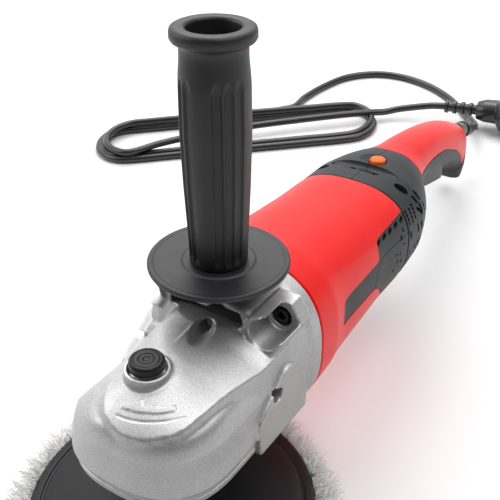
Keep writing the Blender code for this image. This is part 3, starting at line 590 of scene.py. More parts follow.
def screw_bosses():
    """Six-sided bosses round the upper screws."""
    return [turned("boss", [(0, 34.0), (r - 1.2, 34.0), (r, 36.0), (r, 64.0), (0, 64.0)],
                   along_motor(x, 135.4), 6) for x, r in ((-34.5, 9.6), (36.0, 12.6))]


def exhaust_slot():
    """Slot under the hood: low at one end, with a notch and a taller end on the other."""
    outline = [(-23.0, 132.8), (2.0, 133.4), (21.5, 133.2), (23.5, 135.6), (21.5, 142.6), (13.0, 142.4),
               (10.5, 144.0), (5.5, 143.6), (3.0, 141.6), (-23.0, 141.6)]
    return loft("case_slot", [[(x, y, z) for x, z in outline] for y in (27.0, 58.5)])


def case_cuts():
    cut = [cylinder("cut", 41.0, 60.0, 100.5), box("cut", (-15, -8.6, 99), (15, 44, 116.5)),
           cylinder("cut", 15.3, 39.7, 58.3, along_motor()), cylinder("cut", 41.5, 57.2, 90.0, along_motor()),
           exhaust_slot(), box("cut", (-22, 41.5, 129), (22, 60, 144.6)),
           cylinder("cut", 3.3, 90.0, 129.0, at(0, LOCK_Y, 0)),
           cylinder("cut", 9.9, 127.0, 140.0, at(0, LOCK_Y, 0)),
           cylinder("cut", 4.4, 145.0, 170.0, at(0, HANDLE_Y, 0)),
           ball("cut", (6.2, 23.5, 134.6), (6.2, 6.4, 12.5), (-0.22, 1.0, -0.10)),
           cylinder("cut", 3.0, 0.0, 12.0, at(3.6, 27.5, 131.5, (-0.1, 1.0, -0.25)))]
    for side in (-1, 1):
        cut.append(cylinder("cut", 4.4, 0, 24, at(side * 60, 35, 101, (-side, 0, 0))))
        cut.append(ball("cut", (side * 51.4, 58.5, 101), (3.2, 5.0, 27.0)))
        cut.append(cylinder("cut", 3.4, 60.0, 118.0, at(side * 48.6, 14.6, 0)))
        cut.append(cylinder("cut", 8.8, 20.0, 53.6, along_motor(side * 37.4, 137.0), segments=32))
        cut.append(cylinder("cut", 7.6, 20.0, 53.6, along_motor(side * 43.5, 142.0), segments=32))
    for x, z in CASE_SCREWS:
        cut.append(cylinder("cut", 6.0, 20, 60, along_motor(x, z)))
        cut.append(cylinder("cut", 2.4, 50, 90, along_motor(x, z)))
    for x, y in COVER_SCREWS:
        cut.append(cylinder("cut", 2.2, 70, 93, at(x, y, 0)))
    fold = [(-13.5, 12.5, 134.0), (-18.0, 22.0, 135.5), (-24.0, 36.0, 141.0)]
    for first, second in zip(fold, fold[1:]):
        run = Vector(second) - Vector(first)
        cut.append(cylinder("cut", 1.5, -1.0, run.length + 1.0, at(*first, run), 12))
    return cut


def press_arrow(spots):
    """Raised direction arrow in a shallow field on the plateau, and a fine line round the field."""
    x, y, z = spots.T
    r, a = np.hypot(x, y), np.degrees(np.arctan2(y, x))
    top = (z > crown_height(x, y) - 0.9) & (y < -8)
    band = (np.abs(r - 31.5) < 1.5) & (a > -72) & (a < -41)
    along = (a + 90.0) / 18.0
    head = (along > 0) & (along < 1) & (r - 31.5 > -5.0 * along) & (r - 31.5 < 1.5)
    line = np.exp(-((r - 36.4) / 0.45) ** 2) * ((a > -90) & (a < -36))
    spots[:, 2] += np.where(top, 0.7 * (band | head) - 0.6 * line, 0.0)
    return spots


def gear_case():
    case = case_body()
    added = [loft("throat", throat_rings()), flank_block(), *screw_bosses(),
             turned("boss", [(0, 112.0), (12.2, 112.0), (11.8, 132.4), (0, 132.4)], at(0, LOCK_Y, 0), 64),
             turned("boss", [(0, 142.0), (17.0, 142.0), (15.0, 149.0), (15.0, GUARD_Z - 0.3),
                             (0, GUARD_Z - 0.3)], at(0, HANDLE_Y, 0), 64)]
    carve(case, added, case_cuts())
    soften(case, 0.7, 4)
    case.name = "cast_gear_case"
    move_points(case, press_arrow(points_of(case)))
    show(case, "cast_aluminium", ["gear_case"], sharp=80)


def gear_case_cover():
    rings = []
    for inset, z in ((1.4, 74.0), (0.4, 75.0), (0.4, 77.6), (1.0, 77.9), (1.0, 78.6), (0.4, 78.9),
                     (0.4, 81.2), (1.2, 81.9)):
        rings.append([(x, y, z) for x, y in case_outline(inset, 26.0 - inset)])
    cover = loft("cast_case_cover", rings)
    cut = [cylinder("cut", 20.3, 72.0, 90.0), cylinder("cut", 12.0, 60.0, 80.0)]
    cut += [cylinder("cut", 2.3, 60, 90, at(x, y, 0)) for x, y in COVER_SCREWS]
    hub = turned("hub", [(0, 69.5), (24.5, 69.5), (24.5, 80.0), (0, 80.0)], None, 64, 1.0)
    carve(cover, [hub], cut)
    show(cover, "cast_aluminium", ["gear_case_cover"])


def socket_screw(name, replaced, place, head_r, head_h, shank_r, length):
    """Cap screw, head first along local Z, with a hexagonal socket."""
    profile = [(0, 0), (head_r, 0), (head_r, head_h), (shank_r, head_h), (shank_r, length), (0, length)]
    screw = turned(name, profile, place, 40, 0.35)
    carve(screw, cut=[cylinder("cut", head_r * 0.56, -1.0, head_h * 0.6, place, 6)])
    show(screw, "black_steel", [replaced], sharp=30)


def screws():
    for k, (x, z) in enumerate(CASE_SCREWS, 1):
        socket_screw(f"case_cap_screw_{k}", f"case_screw_{k}", at(x, 54.0, z, (0, 1, 0)), 4.2, 5.7, 2.1, 34.0)
    for k, (x, y) in enumerate(COVER_SCREWS, 1):
        socket_screw(f"cover_cap_screw_{k}", f"cover_screw_{k}", at(x, y, 70.2), 3.6, 3.5, 1.9, 18.0)


def lock_button():
    """Push button with two rings and a dimple, on the pin that enters the ring gear."""
    profile = [(0, 95.2), (2.2, 95.2), (2.2, 132.6), (9.0, 132.6), (9.0, 136.3), (8.3, 137.4),
               (7.4, 137.6), (6.9, 137.2), (6.4, 137.2), (6.0, 137.5), (4.6, 137.5), (4.2, 137.1),
               (3.7, 137.1), (3.3, 137.4), (2.2, 137.4), (1.5, 136.9), (0, 136.7)]
    button = turned("spindle_lock_cap", profile, at(0, LOCK_Y, 0), 96, 0.25)
    show(button, "black_plastic", ["spindle_lock_button"], "lock_button", sharp=60)


# ---------------------------------------------------------------- motor housing and its cheeks

def crease(y, angle):
    """How far the housing's skin lies under a plain taper: a collar in front, then flattened sides."""
    folded = np.where(np.abs(angle) > 90, 180 - np.abs(angle), np.abs(angle)) * np.where(angle < 0, -1, 1)
    t = np.clip((y - 97.0) / 24.0, 0, 1)
    upper = 41.0 - 0.2 * np.clip(y - 98, 0, 64)
    middle, reach = (upper - 34.0) / 2, (upper + 34.0) / 2
    side = np.clip(1 - ((folded - middle) / reach) ** 2, 0, None)
    fade = 1 - ramp(y, 166.0, 203.0)
    front = 0.9 * (1 - np.clip((y - MOTOR_Y0) / 1.2, 0, 1)) ** 2
    rear = 0.8 * (1 - np.clip((MOTOR_Y1 - y) / 1.0, 0, 1)) ** 2
    return (1 - (1 - t) ** 2) * (0.9 + 1.5 * side) * fade + front + rear


def housing_point(y, angle, inset=0.0, skin=True):
    """Point of the motor housing: angle 90 is the top, 0 the right side."""
    share = (y - MOTOR_Y0) / (MOTOR_Y1 - MOTOR_Y0)
    back, belly, half = 152.0 - 10.0 * share, 54.0 + 10.0 * share, 50.0 - 4.0 * share
    down = inset + (crease(y, angle) if skin else 0.0)
    a = np.radians(angle)
    x = (half - down) * signed_power(np.cos(a), 2 / 2.5)
    z = (back + belly) / 2 + ((back - belly) / 2 - down) * signed_power(np.sin(a), 2 / 2.5)
    return np.stack([x, y + 0 * x, z], -1)


def housing_skin(name, inset, wall, y0, y1):
    ys = np.unique(np.concatenate([np.linspace(y0, min(y0 + 1.2, y1), 4), np.linspace(y0, y1, 72),
                                   np.linspace(y1 - 1.0, y1, 4)]))
    angles = np.linspace(-180, 180, 240, endpoint=False)
    outer = [housing_point(y, angles, inset) for y in ys]
    inner = [housing_point(y, angles, wall, skin=False) for y in ys[::-1]]
    return loft(name, outer + inner, wrap=True)


CHEEK = [(205.5, 38.0), (188.0, 36.0), (163.5, 33.6), (160.6, 31.5), (159.6, 15.2), (157.0, 13.7),
         (111.5, 12.7), (109.0, 11.0), (107.7, -1.2), (109.0, -2.6), (156.0, -5.2), (161.5, -8.5),
         (171.0, -24.0), (175.5, -28.0), (205.5, -30.0)]
DEGREE = 0.8                      # millimetres round the housing's side to one degree


def cheek_guide(side, shrink=0.0):
    """Block that holds everything inside the cheek's outline, through the wall."""
    flat = rounded([(y, a * DEGREE) for y, a in CHEEK], 2.6, 4, closed=True)
    count, inner = len(flat), []
    for k, spot in enumerate(flat):
        run = (flat[(k + 1) % count] - flat[k - 1]).normalized()
        inner.append(spot + Vector((run.y, -run.x)) * -shrink)
    rings = []
    for depth in (-18.0, 6.0):
        ring = [housing_point(np.array(y), np.array(s / DEGREE), depth, skin=False) for y, s in inner]
        rings.append([(side * x, y, z) for x, y, z in ring])
    return loft("cheek_guide", rings)


def motor_housing():
    housing = housing_skin("painted_motor_housing", 0.0, 3.4, MOTOR_Y0, MOTOR_Y1)
    carve(housing, cut=[cheek_guide(side) for side in (-1, 1)])
    show(housing, "red_plastic", ["motor_housing"], sharp=28)


def cheek(name, side, replaced):
    """Dark side plate, flush in the red housing, with vents along its top edge and a moulded seam."""
    plate = housing_skin(name, 0.35, 3.2, 100.0, 203.9)
    keep = plate.modifiers.new("keep", "BOOLEAN")
    guide = cheek_guide(side, 0.3)
    keep.operation, keep.solver, keep.object = "INTERSECT", "EXACT", guide
    bake(plate)
    bpy.data.objects.remove(guide)
    cut = []
    for k in range(5):
        cut.append(wall_vent(housing_point, 163.5 + 8.8 * k, 29.6 + 0.35 * k, side, (5.4, 2.6), 0.35))
    for y, a in ((186.0, 3.0), (188.5, -2.0), (191.5, 1.2), (194.0, -4.0), (183.5, -7.0), (196.5, 6.5)):
        cut.append(wall_vent(housing_point, y, a, side, (2.2, 1.6), 0.3))
    cut.append(wall_vent(housing_point, 193.0, 14.5, side, (2.0, 4.2), 0.35))
    cut.append(wall_vent(housing_point, 197.0, 20.0, side, (1.6, 3.4), 0.35))
    seam = [(203.0, 13.4), (186.5, 13.4), (168.0, 13.6), (163.2, 11.0), (161.0, 6.9), (158.2, 2.6),
            (156.8, -4.6)]
    path = [housing_point(np.array(y), np.array(a), 0.25) for y, a in rounded(seam, 3.0, 3)]
    for first, second in zip(path, path[1:]):
        first, second = (Vector((side * p[0], p[1], p[2])) for p in (first, second))
        run = second - first
        cut.append(cylinder("cut", 0.4, -0.2, run.length + 0.2, at(*first, run), 6))
    carve(plate, cut=cut)
    show(plate, "grey_plastic", [replaced], sharp=30)


def wall_vent(surface, u, v, side, size, turn=0.0, depth=6.0):
    """Rounded slot through a shell wall: size is (along the body, round it), in millimetres."""
    u, v = np.array(float(u)), np.array(float(v))
    spot = Vector(surface(u, v))
    along = (Vector(surface(u + 0.05, v)) - spot).normalized()
    around = (Vector(surface(u, v + 0.5)) - spot).normalized()
    out = along.cross(around).normalized()
    around = out.cross(along)
    half_u, half_v = size[0] / 2, size[1] / 2
    outline = rounded([(-half_u, -half_v), (half_u, -half_v), (half_u, half_v), (-half_u, half_v)],
                      min(half_u, half_v) * 0.6, 3, closed=True)
    rings = []
    for level in (-depth, depth):
        ring = []
        for p in outline:
            q = Matrix.Rotation(turn, 2) @ p
            w = spot + along * q.x + around * q.y + out * level
            ring.append((side * w.x, w.y, w.z))
        rings.append(ring)
    return loft("vent", rings)


# ---------------------------------------------------------------- rear housing and grip cover

STATIONS = np.array([
    # back y, z; front y, z; half width; power; wall
    (204.3, 142.0, 204.3, 64.0, 46.0, 2.5, 4.0), (218.0, 142.2, 218.0, 65.5, 45.5, 2.5, 4.0),
    (226.5, 142.4, 226.5, 66.5, 45.0, 2.5, 4.0), (231.5, 142.5, 231.5, 67.5, 44.4, 2.5, 4.0),
    (246.5, 142.3, 248.0, 71.0, 40.0, 2.4, 4.0), (258.0, 141.2, 262.0, 78.0, 33.5, 2.4, 4.0),
    (264.6, 140.2, 272.0, 84.0, 29.0, 2.3, 3.5), (266.0, 140.0, 274.0, 85.5, 28.0, 2.3, 3.5),
    (280.0, 138.6, 289.0, 94.5, 21.8, 2.3, 3.0), (300.0, 137.4, 303.0, 98.5, 19.4, 2.3, 2.6),
    (325.0, 134.4, 325.0, 95.5, 18.5, 2.3, 2.6), (350.0, 129.6, 346.0, 91.5, 18.0, 2.3, 2.6),
    (374.0, 123.2, 368.0, 86.0, 17.4, 2.3, 2.6), (395.0, 114.8, 383.0, 79.2, 16.0, 2.4, 2.6),
    (408.5, 107.5, 393.0, 73.0, 14.6, 2.4, 6.5), (415.0, 95.0, 398.0, 66.5, 13.6, 2.4, 7.5),
    (418.5, 78.0, 402.0, 61.5, 12.6, 2.4, 7.0), (416.5, 62.0, 405.0, 58.5, 10.8, 2.6, 5.0)])
COVER_FRONT, COVER_END = 5.75, 15.0
COVER_EDGE = [(5.75, 89.0), (6.1, 62.0), (6.7, 36.0), (7.3, 16.0), (7.8, 6.0), (8.4, 1.5), (9.1, 1.5),
              (9.8, 5.5), (10.6, 5.5), (11.5, -2.0), (12.5, -10.5), (13.5, -19.0), (14.3, -24.0),
              (15.0, -24.0)]


def station(t):
    """Values of the rear shell's section at a place t along its stations, on smooth curves."""
    t = np.clip(t, 0, len(STATIONS) - 1 - 1e-9)
    k = np.floor(t).astype(int)
    f = (t - k)[..., None]
    p = [STATIONS[np.clip(k + i, 0, len(STATIONS) - 1)] for i in (-1, 0, 1, 2)]
    smooth = p[1] + 0.5 * f * (p[2] - p[0] + f * (2 * p[0] - 5 * p[1] + 4 * p[2] - p[3]
                                                    + f * (3 * (p[1] - p[2]) + p[3] - p[0])))
    return smooth


def rear_point(t, angle, inset=0.0):
    row = station(np.asarray(t, float))
    back, front = row[..., 0:2], row[..., 2:4]
    middle, half = (back + front) / 2, (back - front) / 2
    reach = np.linalg.norm(half, axis=-1)
    a = np.radians(angle)
    share = signed_power(np.sin(a), 2 / row[..., 5]) * (1 - inset / reach)
    x = (row[..., 4] - inset) * signed_power(np.cos(a), 2 / row[..., 5])
    return np.stack([x, middle[..., 0] + half[..., 0] * share, middle[..., 1] + half[..., 1] * share], -1)


def cover_edge(t):
    ts, angles = zip(*COVER_EDGE)
    return np.interp(t, ts, angles)


def rear_half(name, side, replaced):
    """One half of the dark clamshell, from the motor to the tail, with its vents and recesses."""
    rings = []
    ts = np.unique(np.concatenate([np.linspace(0, 0.12, 4), np.linspace(0, 17, 120),
                                   np.linspace(COVER_FRONT, 8.0, 24)]))
    for t in ts:
        upper = 90.0
        if COVER_FRONT <= t <= COVER_END:
            upper = cover_edge(t)
        elif t > COVER_END:
            upper = -24.0 + 114.0 * min(1.0, (t - COVER_END) / 0.25)
        lip = 0.8 * max(0.0, 1 - t / 0.1) ** 2
        wall = float(station(np.array(t))[6])
        angles = np.linspace(upper, -90, 44)
        outer = rear_point(np.full(44, t), angles, lip)
        inner = rear_point(np.full(44, t), angles[::-1], wall)
        rings.append([(side * max(x, 0.2), y, z) for x, y, z in np.concatenate([outer, inner])])
    shell = loft(name, rings)
    carve(shell, cut=rear_cuts(side))
    show(shell, "grey_plastic", [replaced], sharp=32)


def rear_cuts(side):
    cut = [box("cut", (-9.8, 300.5, 60), (9.8, 371, 114)),
           cylinder("cut", 6.4, 135.0, 160.0, at(2.6, BUTTON_Y + 1.6, 0)),
           box("cut", (-10.6, 218.5, 128), (10.6, 226.3, 160)),
           cylinder("cut", 3.4, -4.0, 12.0, at(side * 29.5, 220.4, 135.2, (side * 0.5, 0.15, 0.86))
                    @ Matrix.Diagonal((1.0, 1.7, 1, 1))),
           ball("cut", (1.0, BUTTON_Y + 1.0, 143.6), (12.5, 9.0, 3.6))]
    channel = [(218.6, 150), (219.6, 140.2), (223.0, 138.6), (230.0, 139.6), (234.5, 150)]
    channel = rounded(channel, 1.6, 4, closed=True)
    rings = []
    for x, drop, squeeze in ((-25.0, -1.4, 0.4), (-21.0, -0.2, 0.9), (-8.0, 0.0, 1.0), (8.0, 0.0, 1.0),
                             (21.0, -0.2, 0.9), (25.0, -1.4, 0.4)):
        rings.append([(x, 226.5 + (y - 226.5) * squeeze, z + drop) for y, z in channel])
    cut.append(loft("cut", rings))
    for t, a, size, turn in REAR_VENTS:
        cut.append(wall_vent(rear_point, t, a, side, size, turn))
    return cut


REAR_VENTS = [(2.85, 35.5, (2.4, 8.5), 0.15), (1.75, 34.5, (2.4, 7.0), 0.25), (2.0, 20.0, (2.6, 11.0), 0.75),
              (2.6, 22.5, (2.2, 7.0), 0.4), (0.32, 8.0, (2.2, 7.0), 0.3), (3.3, 18.0, (2.0, 8.0), 0.3),
              (1.3, 6.0, (2.0, 8.0), 0.3), (2.4, 4.0, (2.0, 8.0), 0.3)]
REAR_VENTS += [(0.28 + 0.34 * i, 33.5 - 4.6 * k - 1.1 * (i % 2), (1.9, 2.6), 0.2)
               for i in range(3) for k in range(4)]
REAR_VENTS += [(0.4 + 0.55 * i, -6.0 - 7.0 * k, (2.0, 4.4), 0.2) for i in range(6) for k in range(3)]


def grip_cover():
    """Red top of the grip: it rides over the clamshell and closes its tail."""
    rings = []
    ts = np.unique(np.concatenate([np.linspace(COVER_FRONT, 8.0, 30), np.linspace(8.0, COVER_END, 76)]))
    for t in ts:
        start = cover_edge(t) + 0.5
        wall = float(station(np.array(t))[6]) if t < 13.2 else 2.6 + 9.9 * min(1.0, (t - 13.2) / 1.8)
        lip = 0.6 * max(0.0, 1 - (COVER_END - t) / 0.1) ** 2
        angles = np.linspace(start, 180 - start, 61)
        edge = np.clip(np.minimum(angles - start, 180 - start - angles) / 1.6, 0, 1)
        outer = rear_point(np.full(61, t), angles, lip + 0.5 * (1 - edge) ** 2)
        inner = rear_point(np.full(61, t), angles[::-1], min(wall, 3.2) if t < 13.2 else wall)
        rings.append([tuple(p) for p in np.concatenate([outer, inner])])
    cover = loft("painted_grip_cover", rings)
    oval = at(0, 386, 120.5, (0, 0.4, 1)) @ Matrix.Diagonal((1.0, 1.9, 1, 1))
    screw = cylinder("cut", 2.6, -8.0, 8.0, oval, 32)
    carve(cover, cut=[cylinder("cut", 6.6, -20.0, 20.0, relief_place()), screw])
    show(cover, "red_plastic", ["grip_cover"], sharp=35)


def relief_place():
    return at(0, 415, 100.0, (0, math.cos(math.radians(18)), -math.sin(math.radians(18))))


def lock_on_button():
    """Orange push button with a soft six-sided head."""
    profile = [(0, 122.0), (2.5, 122.0), (2.5, 136.0), (5.8, 136.0), (5.8, 141.8), (5.2, 143.0), (3.6, 143.6),
               (0, 143.7)]

    def six_sided(radius, height, angle):
        if height < 136.0:
            return radius
        sector = (angle + math.pi / 6) % (math.pi / 3) - math.pi / 6
        return radius * (0.55 + 0.45 * math.cos(math.pi / 6) / math.cos(sector))

    button = turned("lock_on_cap", profile, at(2.6, BUTTON_Y + 1.6, 0), 96, 0.5, six_sided)
    show(button, "orange_plastic", ["lock_on_button"], "lock_on")


def speed_dial():
    def knurl(radius, height, angle):
        return radius - (0.55 * (0.5 + 0.5 * math.cos(36 * angle)) ** 2 if radius > DIAL_R - 2 else 0)

    profile = [(0, -2.2), (DIAL_R - 2.2, -2.2), (DIAL_R - 1.6, -1.6), (DIAL_R - 1.6, 1.6),
               (DIAL_R - 2.2, 2.2), (0, 2.2)]
    dial = turned("speed_wheel", profile, at(0, DIAL_Y, 131.0, (0, 1, 0)), 288, 0.2, knurl)
    show(dial, "black_plastic", ["speed_dial"], "dial", sharp=50)


def trigger():
    outline = rounded([(304.0, 96.0), (313.0, 88.5), (335.0, 82.5), (358.0, 77.5), (366.0, 76.0),
                       (367.5, 79.0), (366.5, 92.5), (350.0, 97.0), (325.0, 101.5), (312.0, 103.0),
                       (305.0, 101.5)], 4.0, 4, closed=True)
    lever = loft("trigger_lever", [[(x, y, z) for y, z in outline] for x in (-8.6, 8.6)])
    bevelled(lever, 1.2)
    carve(lever, cut=[cylinder("cut", 2.3, -20, 20, at(0, 309.0, 98.5, (1, 0, 0)))])
    show(lever, "black_plastic", ["trigger"], "trigger_lever")


def cord_relief():
    profile = [(6.2, 0.0), (6.2, 16.5), (7.6, 16.8)]
    for k in range(4):
        low, rib = 16.8 + 5.4 * k, 7.6 - 0.5 * k
        profile += [(rib, low + 2.8), (rib - 1.4, low + 3.1), (rib - 1.5, low + 5.2), (rib - 0.5, low + 5.5)]
    profile += [(5.2, 41.0)]
    relief = turned("cord_bend_relief", ring_profile(3.8, profile), relief_place(), 64, 0.5)
    return show(relief, "cord_black", ["cord_relief"], sharp=50)


# ---------------------------------------------------------------- side handle

GROOVE_GROUPS, GROOVES = 4, 3


def grip_flutes(radius, height, angle):
    """Groups of long round-ended grooves between plain lands."""
    if radius < 14.0:
        return radius
    sector = 2 * math.pi / GROOVE_GROUPS
    local = (angle - math.radians(12.0)) % sector - sector / 2
    depth = 0.0
    for k in range(GROOVES):
        across = (local - (k - 1) * math.radians(19.5)) * radius / 2.5
        end = max(0.0, (height - 257.0) / 7.0, (168.0 - height) / 4.0)
        reach = math.hypot(across, end * 1.6)
        depth = max(depth, 1.0 - reach ** 2)
    return radius - 1.15 * min(1.0, 1.9 * depth)


def side_handle():
    turned_place = at(0, HANDLE_Y, 0)
    body = [(14.6, GRIP_Z0), (15.2, 163.2)]
    for z in np.linspace(165, 272, 64):
        share = np.interp(z, [163, 172, 205, 235, 258, 270, 275.5],
                          [15.2, 15.4, 16.8, 17.5, 17.2, 16.1, 16.1])
        body.append((float(share), float(z)))
    body += [(16.1, 275.0), (17.2, 276.6), (19.4, 277.8), (20.1, 279.0), (20.1, 281.8), (19.6, 283.3),
             (18.4, 284.0), (14.2, 284.0), (13.0, 283.4), (12.7, 282.2), (11.4, 206.0), (0, 206.0)]
    bore = [(0, 192.0), (4.4, 192.0), (4.4, GRIP_Z0)]
    grip = turned("rubber_grip", bore + body, turned_place, 360, 0.0, grip_flutes)
    show(grip, "black_rubber", ["handle_grip"], sharp=50)
    disc = [(GUARD_R - 0.9, GUARD_Z), (GUARD_R, 159.9), (GUARD_R, 161.5), (GUARD_R - 0.7, 162.2),
            (GUARD_R - 2.4, 162.2), (GUARD_R - 3.6, 161.8), (26.0, 161.4), (20.0, 161.3), (18.6, 162.0),
            (4.4, 162.0), (4.4, GUARD_Z)]
    guard = turned("hand_guard", [(4.4, GUARD_Z)] + disc, turned_place, 160, 0.3)
    show(guard, "black_rubber", ["handle_guard"], sharp=60)


# ---------------------------------------------------------------- pad and wool

def pad():
    profile = [(0, 22.4), (PAD_R - 1, 22.4), (PAD_R, 23.6), (PAD_R, 26.4), (PAD_R - 0.8, 27.7),
               (PAD_R - 2.4, 28.1), (75.4, 28.4), (74.6, 27.6), (73.4, 27.6), (72.6, 28.8), (68.0, 29.5),
               (30.0, 33.5), (22.0, 35.4), (19.0, 38.0), (17.0, 50.5), (7.1, 50.5), (7.1, 26.6),
               (0, 26.6)]
    plate = turned("rubber_backing_plate", profile, None, 160, 0.4)
    show(plate, "black_plastic", ["backing_plate"], "spindle", sharp=60)
    layer = [(0, 20.3), (83.1, 20.3), (83.6, 20.9), (83.5, 21.9), (0, 21.9)]
    show(turned("hook_disc", layer, None, 160), "hook_fabric", ["hook_layer"], "spindle")


def wool_skin(angle, t):
    """Point of the bonnet's skin: t runs from the face's middle (0) over the rim (0.75) to the back (1)."""
    path = [(0.0, 0.8), (30.0, 1.0), (60.0, 1.0), (80.0, 1.6), (86.5, 5.0), (88.5, 10.0), (87.0, 15.0),
            (83.0, 18.8), (72.0, 19.6)]
    where = t * (len(path) - 1)
    k = min(int(where), len(path) - 2)
    r, z = (a + (b - a) * (where - k) for a, b in zip(path[k], path[k + 1]))
    return Vector((r * math.cos(angle), r * math.sin(angle), z))


def wool_base():
    profile = [(wool_skin(0.0, i / 40).x, wool_skin(0.0, i / 40).z) for i in range(41)] + [(0, 19.6)]
    base = turned("wool_pile", profile, None, 240)
    spots = points_of(base)
    for spot in spots:
        lump = noise.fractal(Vector(spot) * 0.11, 1.0, 2.0, 3) + 0.6 * noise.noise(Vector(spot) * 0.35)
        shrink = 1 - 0.012 * (1 + lump)
        spot[:2] *= shrink
        spot[2] = max(0.4, spot[2] + 0.3 * lump) if spot[2] < 15 else spot[2]
    move_points(base, spots)
    return base


def tuft(rng, verts, faces, root, out, length, width):
    """One tapered lock of fibres that bends as it grows; the tip closes to a point."""
    side = Vector((rng.gauss(0, 1), rng.gauss(0, 1), rng.gauss(0, 1)))
    lean = (out + side * 0.33).normalized()
    curl = Vector((rng.gauss(0, 1), rng.gauss(0, 1), rng.gauss(0, 0.7))) * 0.32
    across = lean.cross(side).normalized()
    first = len(verts)
    steps = 4
    for k in range(steps):
        share = k / steps
        centre = root + lean * (length * share) + curl * (length * share * share)
        half = width * (1 - 0.75 * share)
        for i in range(3):
            spin = 2 * math.pi * i / 3 + share
            spot = centre + across * (half * math.cos(spin)) + lean.cross(across) * (half * math.sin(spin))
            verts.append(spot)
    verts.append(root + lean * length + curl * length)
    for k in range(steps - 1):
        for i in range(3):
            j = (i + 1) % 3
            faces.append((first + 3 * k + i, first + 3 * k + j, first + 3 * k + 3 + j, first + 3 * k + 3 + i))
    tip, last = len(verts) - 1, first + 3 * (steps - 1)
    faces += [(last + i, last + (i + 1) % 3, tip) for i in range(3)]
    faces.append((first + 2, first + 1, first))


def wool_bonnet():
    """Lambswool bonnet: a lumpy base with thousands of short curling locks."""
    base = wool_base()
    rng = random.Random(7)
    verts, faces = [], []
    for _ in range(11000):
        t = 0.36 + 0.62 * rng.random() ** 0.6
        angle = rng.uniform(0, 2 * math.pi)
        root = wool_skin(angle, t) * 0.985
        radial = Vector((math.cos(angle), math.sin(angle), 0))
        rim = min(1.0, max(0.0, (t - 0.30) / 0.2))
        out = radial * (0.35 + 0.65 * rim) + Vector((0, 0, -1 + 2.1 * max(0.0, (t - 0.42) / 0.5)))
        length = rng.uniform(3.0, 6.5) if t < 0.45 else rng.uniform(8.0, 16.0)
        tuft(rng, verts, faces, root, out.normalized(), length, rng.uniform(0.45, 0.95))
    for _ in range(2500):
        angle, t = rng.uniform(0, 2 * math.pi), 0.38 * math.sqrt(rng.random())
        out = Vector((rng.gauss(0, 0.7), rng.gauss(0, 0.7), -0.6))
        root = wool_skin(angle, t) + Vector((0, 0, 1.0))
        tuft(rng, verts, faces, root, out.normalized(), rng.uniform(2.0, 4.0), 0.5)
    locks = blank("wool_locks", verts, faces)
    for obj in (base, locks):
        spots = points_of(obj)
        heights = (np.array(MACHINE)[2, :3] @ spots.T) + MACHINE[2][3] / MM
        spots[:, 2] += np.maximum(0.0, 0.5 - heights)
        radius = np.hypot(spots[:, 0], spots[:, 1])
        spots[:, :2] *= np.minimum(1.0, (WOOL_R + 8.0) / np.maximum(radius, 1.0))[:, None]
        spots[:, 2] = np.maximum(spots[:, 2], -1.5)
        near = radius < 80.5
        spots[near, 2] = np.minimum(spots[near, 2], 20.0)
        move_points(obj, spots)
    show(base, "wool", ["wool_bonnet"], "spindle", sharp=180)
    show(locks, "wool", ["wool_bonnet"], "spindle", sharp=180)


# ---------------------------------------------------------------- lead, in the world frame

HANK_CENTRE, HANK_TURN = Vector((-222.0, 221.0)), math.radians(35.9)
HANK_HALF = 112.0
PLUG_START, PLUG_TURN, PLUG_RISE = Vector((-47.0, 335.0, 17.6)), math.radians(7.0), math.radians(2.5)
RUN_OUT = [(0, 274.9, 35.4), (-1, 288, 28.8), (-4.5, 304, 20.0), (-11, 322, 11.8), (-23, 342, 6.0),
           (-40, 360, 4.0), (-62, 379, 3.6), (-90, 394, 3.6), (-122, 401, 3.6), (-153, 396, 3.6),
           (-179, 376, 3.6), (-193, 345, 3.6), (-199.5, 313, 3.9), (-201.4, 285.4, 4.5)]
# each turn of the hank: radius of its ends, shift along and across, height of the lead's middle
HANK_TURNS = [(33.0, -4.0, 0.0, 3.7), (25.5, -9.0, 0.5, 3.8), (30.0, 2.0, -2.0, 10.9)]


def hank_spot(x, y, z):
    flat = HANK_CENTRE + Matrix.Rotation(HANK_TURN, 2) @ Vector((x, y))
    return (flat.x, flat.y, z)


def hank_route():
    """The folded lead: three long turns, the last one laid over the others, then out to the plug."""
    route = []
    stops = [("run", 1, -0.5), ("run", 1, -0.9)]
    stops += [("left", a, 0) for a in (100, 130, 160, 180, 200, 230, 260)]
    stops += [("run", -1, -0.6), ("run", -1, 0.0), ("run", -1, 0.6)]
    stops += [("right", a, 0) for a in (-80, -50, -20, 0, 20, 50, 80)]
    stops += [("run", 1, 0.6), ("run", 1, 0.1)]
    for turn in range(3):
        for k, (kind, way, share) in enumerate(stops):
            if turn == 2 and (kind == "right" or (kind == "run" and k > 4)):
                continue
            late = max(0.0, (k - 11) / (len(stops) - 11)) if turn < 2 else 0.0
            here, after = HANK_TURNS[turn], HANK_TURNS[min(turn + 1, 2)]
            radius, along, across, height = (a + (b - a) * late for a, b in zip(here, after))
            if kind == "run":
                x, y = share * HANK_HALF, way * radius
            else:
                end = HANK_HALF if kind == "right" else -HANK_HALF
                x, y = end + radius * math.cos(math.radians(way)), radius * math.sin(math.radians(way))
            route.append(hank_spot(x + along, y + across, height))
    route += [hank_spot(*p) for p in ((-84, -20, 10.9), (-40, -9, 10.9), (10, -2, 10.9), (60, 1.5, 10.9),
                                      (108, 3.5, 10.9), (135, 4.5, 10.0))]
    route.append(hank_spot(149.8, 5.0, 9.0))
    return route


